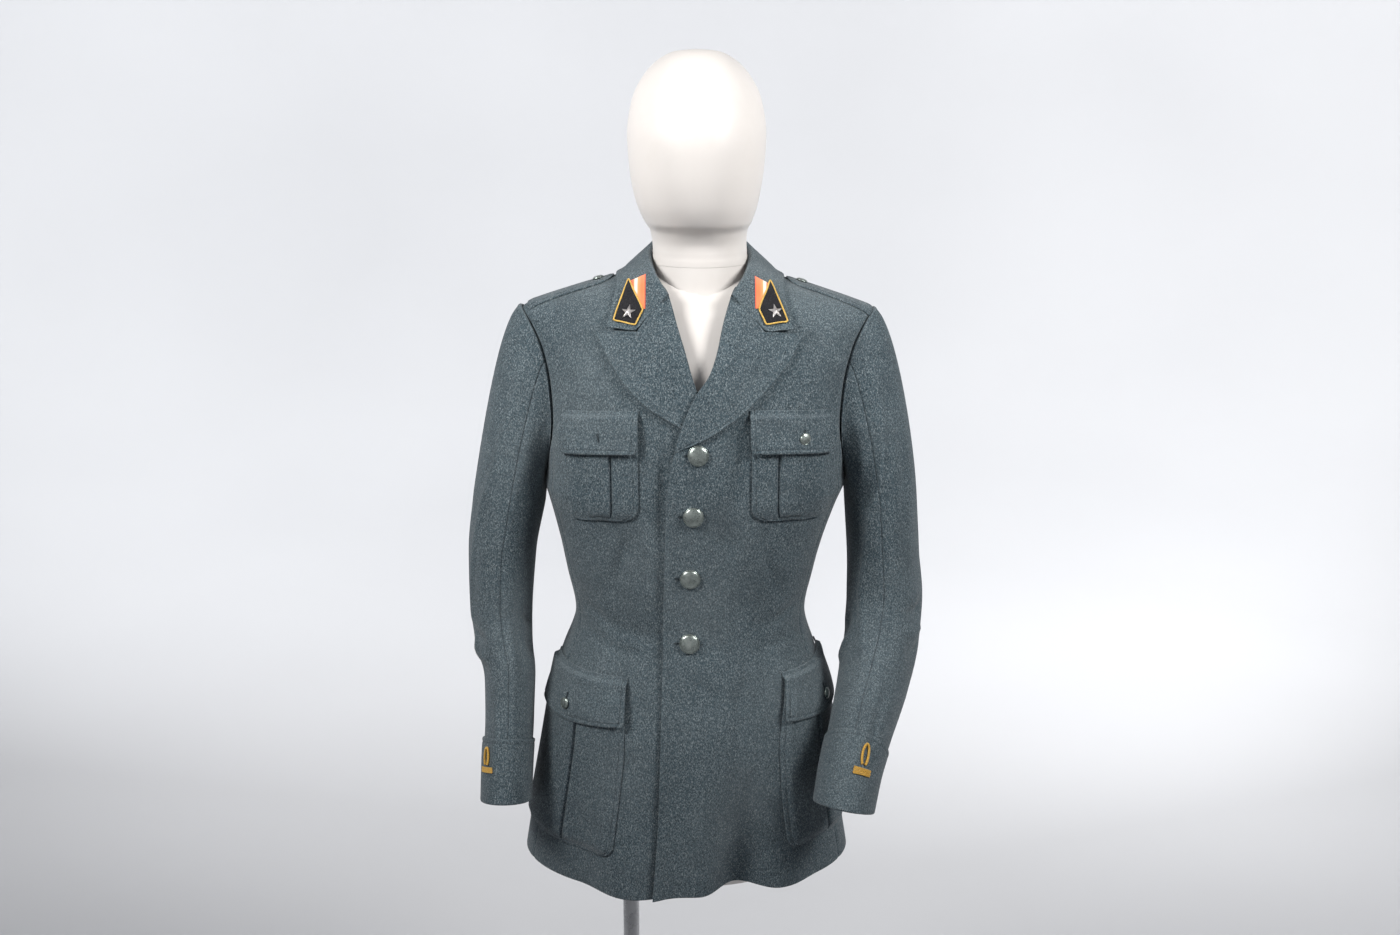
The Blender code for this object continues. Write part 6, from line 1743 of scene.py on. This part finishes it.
def makeStitchTree():
    # Short threads placed end to end along every edge of the mesh that it is given.
    tree, entry, out = groupOf("stitchesAlong", {
        "Geometry": ("Geometry", None), "Every": ("Float", 0.0036), "Length": ("Float", 0.0026),
        "Radius": ("Float", 0.0003), "Across": ("Float", 0.0), "Uneven": ("Float", 0.12), "Seed": ("Int", 7),
        "Material": ("Material", None)}, {"Geometry": "Geometry"}, "GeometryNodeTree")

    def made(kind, inputs, **settings):
        return node(tree, kind, inputs, **settings).outputs

    curve = made("GeometryNodeMeshToCurve", {"Mesh": entry["Geometry"]})
    spaced = made("GeometryNodeResampleCurve", {"Curve": curve[0], "Length": entry["Every"]}, mode="LENGTH")
    tangent = made("GeometryNodeInputTangent", {})
    turned = made("FunctionNodeAlignRotationToVector", {"Vector": tangent[0]}, axis="Z")
    tilt = made("ShaderNodeCombineXYZ", {"X": entry["Across"]})
    beside = made("FunctionNodeRotateRotation", {"Rotation": turned[0], 1: tilt[0]}, rotation_space="LOCAL")
    thread = made("GeometryNodeMeshUVSphere", {"Segments": 6, "Rings": 5, "Radius": 1.0})
    half = times(tree, entry["Length"], 0.5)
    size = made("ShaderNodeCombineXYZ", {"X": entry["Radius"], "Y": entry["Radius"], "Z": half})
    shaped = made("GeometryNodeTransform", {"Geometry": thread[0], "Scale": size[0]})
    low, high = times(tree, 1.0, entry["Uneven"], "SUBTRACT"), plus(tree, 1.0, entry["Uneven"])
    varied = made("FunctionNodeRandomValue", {2: low, 3: high, "Seed": entry["Seed"]}, data_type="FLOAT")
    laid = made("GeometryNodeInstanceOnPoints", {"Points": spaced[0], "Instance": shaped[0],
                                                 "Rotation": beside[0], "Scale": varied[1]})
    real = made("GeometryNodeRealizeInstances", {"Geometry": laid[0]})
    smooth = made("GeometryNodeSetShadeSmooth", {"Geometry": real[0]})
    painted = made("GeometryNodeSetMaterial", {"Geometry": smooth[0], "Material": entry["Material"]})
    fill(tree, out, {"Geometry": painted[0]})
    return tree


stitchTree = makeStitchTree()


def stitchesOn(name, paths, closed=False, **values):
    base = pathsObject(name + "_paths", paths, closed)
    modifier = base.modifiers.new("stitches", "NODES")
    modifier.node_group = stitchTree
    values["Material"] = threadFinish
    for item in stitchTree.interface.items_tree:
        if item.in_out == "INPUT" and item.name in values:
            modifier[item.identifier] = values[item.name]
    return addObject(name, evaluated(base, name))


edgeStitches = stitchesOn("edge_stitches", sewn, Every=0.0031, Length=0.0027, Radius=0.00026)
holeStitches = stitchesOn("buttonhole_stitches", holes, closed=True, Every=0.0007, Length=0.0017,
                          Radius=0.00030, Across=math.pi / 2)
print("stitches laid")


# The form that wears it: body, neck and a head without a face.
formSizes = {
    "z": [0.672, 0.678, 0.700, 0.760, 0.860, 0.940, 1.043, 1.139, 1.215],
    "half": [0.118, 0.131, 0.143, 0.152, 0.157, 0.148, 0.128, 0.148, 0.172],
    "front": [0.078, 0.091, 0.102, 0.110, 0.116, 0.113, 0.105, 0.115, 0.124],
    "back": [0.080, 0.094, 0.105, 0.114, 0.122, 0.110, 0.089, 0.100, 0.116],
    "middle": [-0.0165, -0.0165, -0.0165, -0.0165, -0.0155, -0.0148, -0.0128, -0.0110, -0.0065],
    "round": 2.4, "around": 112, "under": 0.006, "atArmpit": 0.015, "drop": 0.0046, "slopeFrom": 0.078,
    "edge": (0.0, 0.0004, 0.0012, 0.0024, 0.004), "lowRows": 60, "highRows": 44,
    "neck": 0.060, "neckTop": 1.492, "neckFoot": 1.330, "neckRows": 50, "flare": 0.016, "flareZ": 1.470,
}
headSizes = {
    "z": [1.4923, 1.515, 1.532, 1.545, 1.570, 1.610, 1.650, 1.690, 1.720, 1.740, 1.7475, 1.7500],
    "half": [0.0600, 0.0585, 0.0600, 0.0665, 0.0755, 0.0825, 0.0850, 0.0790, 0.0640, 0.0430, 0.0250, 0.0],
    "depth": [0.0600, 0.0590, 0.0640, 0.0740, 0.0850, 0.0960, 0.1020, 0.0960, 0.0790, 0.0530, 0.0310, 0.0],
    "forward": [0.000, 0.002, 0.006, 0.012, 0.014, 0.012, 0.008, 0.004, 0.002, 0.001, 0.001, 0.001],
    "aside": -0.004, "around": 128, "rows": 110, "firstRows": (0.0008, 0.0016),
    "seam": 0.0003, "seamReach": 0.0010, "seamZ": 1.52, "rings": (1.5030, 1.5105), "ringDeep": 0.0006,
    "ringReach": 0.0011,
}


def formValue(name, z):
    return curveThrough(formSizes["z"], formSizes[name], z)


def formRing(level, sweep):
    across, ahead, held = np.sin(sweep), np.cos(sweep), min(level, armpitZ)
    if level <= armpitZ:
        x, z, close = formValue("middle", level) + formValue("half", level) * across, level, 1.0
    else:
        # under the cloth of the shoulders
        rise = riseOf(level)
        close = max(math.cos(turnOf(level)), 0.0) ** (2 / shoulderRound)
        wide = yokeValue("half", rise) - formSizes["under"] - formSizes["atArmpit"] * (1 - ease(rise / 0.5))
        x = yokeValue("middle", rise) + wide * across
        away = np.maximum(np.abs(x), formSizes["slopeFrom"])
        z = armpitZ + rise * (shoulderZ(np.copysign(away, x)) - formSizes["drop"] - armpitZ)
    y = ovalReach(across, ahead, formValue("front", held), formValue("back", held), formSizes["round"])
    return stack(x, y * close, z)


def formTorso():
    sweep = np.arange(formSizes["around"]) / formSizes["around"] * math.tau
    levels = [formSizes["z"][0] + rise for rise in formSizes["edge"]]
    levels += list(np.linspace(0.680, armpitZ, formSizes["lowRows"]))
    shares = np.sin(np.linspace(0.03, 0.985, formSizes["highRows"]) * math.pi / 2)
    levels += list(armpitZ + (ridgeLevel - armpitZ) * shares)
    body = lofted("form_torso_shell", [formRing(level, sweep) for level in levels], formShell)
    rings = []
    for z in np.linspace(formSizes["neckFoot"], formSizes["neckTop"], formSizes["neckRows"]):
        wide = formSizes["neck"] + formSizes["flare"] * ease((formSizes["flareZ"] - z) / 0.08)
        rings.append(stack(wide * np.sin(sweep), -wide * np.cos(sweep), z))
    neck = lofted("form_neck_shell", rings, formShell)
    joined = body.modifiers.new("neck", "BOOLEAN")
    joined.operation, joined.object, joined.solver = "UNION", neck, "EXACT"
    mesh = evaluated(body, "form_torso_shell")
    bpy.data.objects.remove(neck)
    return addObject("form_torso_shell", smoothed(mesh, 50))


def formHead():
    # Rings spaced evenly along the outline, with two fine grooves at the neck and a seam behind.
    knots = np.array([headSizes[name] for name in ("z", "half", "depth", "forward")]).T
    way = np.concatenate([[0.0], np.cumsum(np.hypot(np.diff(knots[:, 0]), np.diff(knots[:, 1])))])
    at = np.sort([*headSizes["firstRows"], *np.linspace(0, way[-1], headSizes["rows"])[:-1]])
    sweep = np.arange(headSizes["around"]) / headSizes["around"] * math.tau
    seam = hump(np.minimum(sweep, math.tau - sweep) * 0.085, headSizes["seamReach"])
    rings = []
    for step in at:
        z, half, depth, forward = [float(curveThrough(way, knots[:, i], step)) for i in range(4)]
        aside = headSizes["aside"] * ease((z - knots[0, 0]) / 0.1)
        groove = sum(hump(z - level, headSizes["ringReach"]) for level in headSizes["rings"])
        ridge = headSizes["seam"] / max(half, 0.02) * seam * ease((z - headSizes["seamZ"]) / 0.02)
        out = 1 - headSizes["ringDeep"] / max(half, 0.01) * groove + ridge
        rings.append(stack(aside + half * out * np.sin(sweep), -forward - depth * out * np.cos(sweep), z))
    return lofted("form_head_shell", rings, formShell)


standSizes = {"poleX": -0.0955, "pole": 0.011, "base": 0.190, "thick": 0.010, "gap": 0.0003, "edge": 0.0020}


def rounding(radius, height, edge, steps=6):
    # The quarter round between a flat top at this height and a side at this radius.
    turns = np.linspace(0, math.pi / 2, steps)
    return [(radius - edge + edge * math.sin(t), height - edge + edge * math.cos(t)) for t in turns]


def standPieces():
    thick, wide, gap = standSizes["thick"], standSizes["base"], standSizes["gap"]
    low, high, pole = thick + gap, formSizes["z"][0] - gap, standSizes["pole"]
    tube = [(0.0, high), *rounding(pole, high, 0.0008), (pole, low), (0.0, low)]
    plate = [(0.0, thick), *rounding(wide, thick, standSizes["edge"])]
    plate += [(wide, 0.0005), (wide - 0.0005, 0.0), (0.0, 0.0)]
    at = np.array([standSizes["poleX"], 0.0, 0.0])
    return (turnedPiece("pole_tube", tube, at, upward, stillSteel, 64),
            turnedPiece("base_plate", plate, np.zeros(3), upward, stillSteel, 128))


trims["form_torso"] = formTorso()
trims["form_head"] = formHead()
trims["pole"], trims["base"] = standPieces()
print("form and stand made")


# Camera, floor and light.
camera = {"place": (0.0, -2.0, 1.744), "tilt": 14.5, "sensor": 36.0, "lens": 41.14}


def addCamera():
    made = addObject("camera", bpy.data.cameras.new("camera"))
    made.location = camera["place"]
    made.rotation_euler = (math.radians(90 - camera["tilt"]), 0.0, 0.0)
    made.data.sensor_width, made.data.lens = camera["sensor"], camera["lens"]
    bpy.context.scene.camera = made


def addLight(name, place, aim, size, power, colour, spread):
    lamp = bpy.data.lights.new(name, "AREA")
    lamp.shape, lamp.size, lamp.energy, lamp.color = "DISK", size, power, colour
    lamp.spread = math.radians(spread)
    made = addObject(name, lamp)
    made.location = place
    made.rotation_euler = (Vector(aim) - Vector(place)).to_track_quat("-Z", "Y").to_euler()
    made.visible_camera = False


stageSizes = {"floor": 3.2, "radius": 6.5, "wall": 6.0, "bend": 2.6, "around": 96, "drop": -0.0005}


def addBackdrop():
    # A wide pale bowl: a level floor that turns up into a wall all round.
    floor, radius, around = stageSizes["floor"], stageSizes["radius"], stageSizes["around"]
    profile = [(1.2, 0.0), (floor, 0.0)]
    for t in np.linspace(0, math.pi / 2, 20)[1:]:
        profile.append((floor + (radius - floor) * math.sin(t), stageSizes["bend"] * (1 - math.cos(t))))
    profile.append((radius, stageSizes["wall"]))
    turn, drop = np.arange(around) / around * math.tau, stageSizes["drop"]
    rings = [stack(r * np.cos(turn), r * np.sin(turn), z + drop) for r, z in profile]
    faces = [(0, 1 + k, 1 + (k + 1) % around) for k in range(around)]
    faces += [face[::-1] for face in ringFaces(len(rings), around, 1)]
    mesh = bpy.data.meshes.new("backdrop")
    mesh.from_pydata([(0.0, 0.0, drop), *np.concatenate(rings)], [], faces)
    mesh.shade_smooth()
    addObject("backdrop", mesh, backdropPaint())


def backdropPaint():
    made, tree, base = newFinish("backdropPaint")
    soft = noise(tree, placeNode(tree), 0.5, 2.0)
    colour = mixed(tree, ranged(tree, soft, 0.3, 0.7), (0.60, 0.605, 0.62, 1), (0.56, 0.565, 0.58, 1))
    fill(tree, base, {"Base Color": colour, "Roughness": 0.9, "Specular IOR Level": 0.1})
    return made


# Name, place, aim, size, power, colour and spread.
lamps = [
    ("softLeft", (-1.30, -1.00, 2.40), (0.0, -0.05, 1.62), 0.7, 13.0, (1.0, 0.99, 0.975), 100),
    ("softRight", (1.38, -1.00, 2.40), (0.0, -0.05, 1.62), 0.7, 12.6, (1.0, 0.99, 0.975), 100),
    ("backdropLeft", (-2.2, 2.0, 2.6), (-1.2, 6.5, 2.3), 1.2, 130.0, (0.98, 0.99, 1.0), 180),
    ("backdropRight", (2.2, 2.0, 2.6), (0.6, 6.5, 2.3), 1.2, 162.0, (1.0, 1.0, 1.0), 180),
    ("frontWallLeft", (-2.2, -2.6, 2.6), (-1.4, -6.5, 2.3), 1.2, 32.0, (1.0, 1.0, 1.0), 180),
    ("frontWallRight", (2.2, -2.6, 2.6), (1.4, -6.5, 2.3), 1.2, 32.0, (1.0, 1.0, 1.0), 180),
    ("floorLeft", (-1.6, 1.8, 2.3), (-1.3, 1.5, 0.0), 1.0, 8.0, (1.0, 0.995, 0.99), 100),
    ("floorRight", (1.6, 1.8, 2.3), (1.3, 1.5, 0.0), 1.0, 15.0, (1.0, 0.995, 0.99), 100),
]
addCamera()
addBackdrop()
for values in lamps:
    addLight(*values)
world = bpy.data.worlds.new("paleRoom")
world.use_nodes = True
world.node_tree.nodes["Background"].inputs["Color"].default_value = (0.92, 0.94, 1.0, 1)
world.node_tree.nodes["Background"].inputs["Strength"].default_value = 0.22
bpy.context.scene.world = world
bpy.context.scene.view_settings.view_transform = "Standard"
print("scene lit")

# The cut of each cloth piece comes first: width and length before it was hung, flat area on the
# right and left, how it is held, and what carries it. Cuffs and collar are whole, all round. The
# carriers are only worked out; every piece rides on the root, and its CAD part is hidden.
bothPanels = ["front_{side}", "back_{side}"]
cuts = {
    "front": (0.32, 0.81, (0.188, 0.186), "hung", ["form_torso"]),
    "side": (0.13, 0.59, (0.064, 0.065), "hung", bothPanels),
    "back": (0.27, 0.81, (0.167, 0.167), "hung", ["form_torso"]),
    "sleeve_upper": (0.27, 0.66, (0.128, 0.139), "hung", bothPanels),
    "sleeve_under": (0.18, 0.60, (0.071, 0.074), "hung", ["sleeve_upper_{side}", "side_{side}"]),
    "cuff": (0.320, 0.080, (0.0241, 0.0255), "folded", ["sleeve_upper_{side}", "sleeve_under_{side}"]),
    "lapel": (0.17, 0.20, (0.0130, 0.0136), "folded", ["front_{side}"]),
    "chest_pocket": (0.118, 0.130, (0.0141, 0.0150), "laid", ["front_{side}"]),
    "chest_flap": (0.118, 0.058, (0.0063, 0.0068), "laid", ["chest_pocket_{side}", "front_{side}"]),
    "lower_pocket": (0.200, 0.230, (0.0435, 0.0424), "laid", ["front_{side}", "side_{side}"]),
    "lower_flap": (0.205, 0.062, (0.0124, 0.0118), "laid", ["lower_pocket_{side}", "front_{side}"]),
    "strap": (0.112, 0.047, (0.0051, 0.0051), "laid", bothPanels),
    "collar_patch": (0.036, 0.050, (0.00123, 0.00115), "laid", ["collar"]),
    "collar_ribbon": (0.018, 0.040, (0.00060, 0.00052), "laid", ["collar"]),
}
everything = clothes | trims
for kind, (wide, long, areas, held, on) in cuts.items():
    for word, area in zip(sides, areas):
        carriers = [name.replace("{side}", word) for name in on]
for name, piece in everything.items():
    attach(piece, "root")
    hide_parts(name)
for piece in (buttonholeCord, edgeStitches, holeStitches):
    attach(piece, "root")
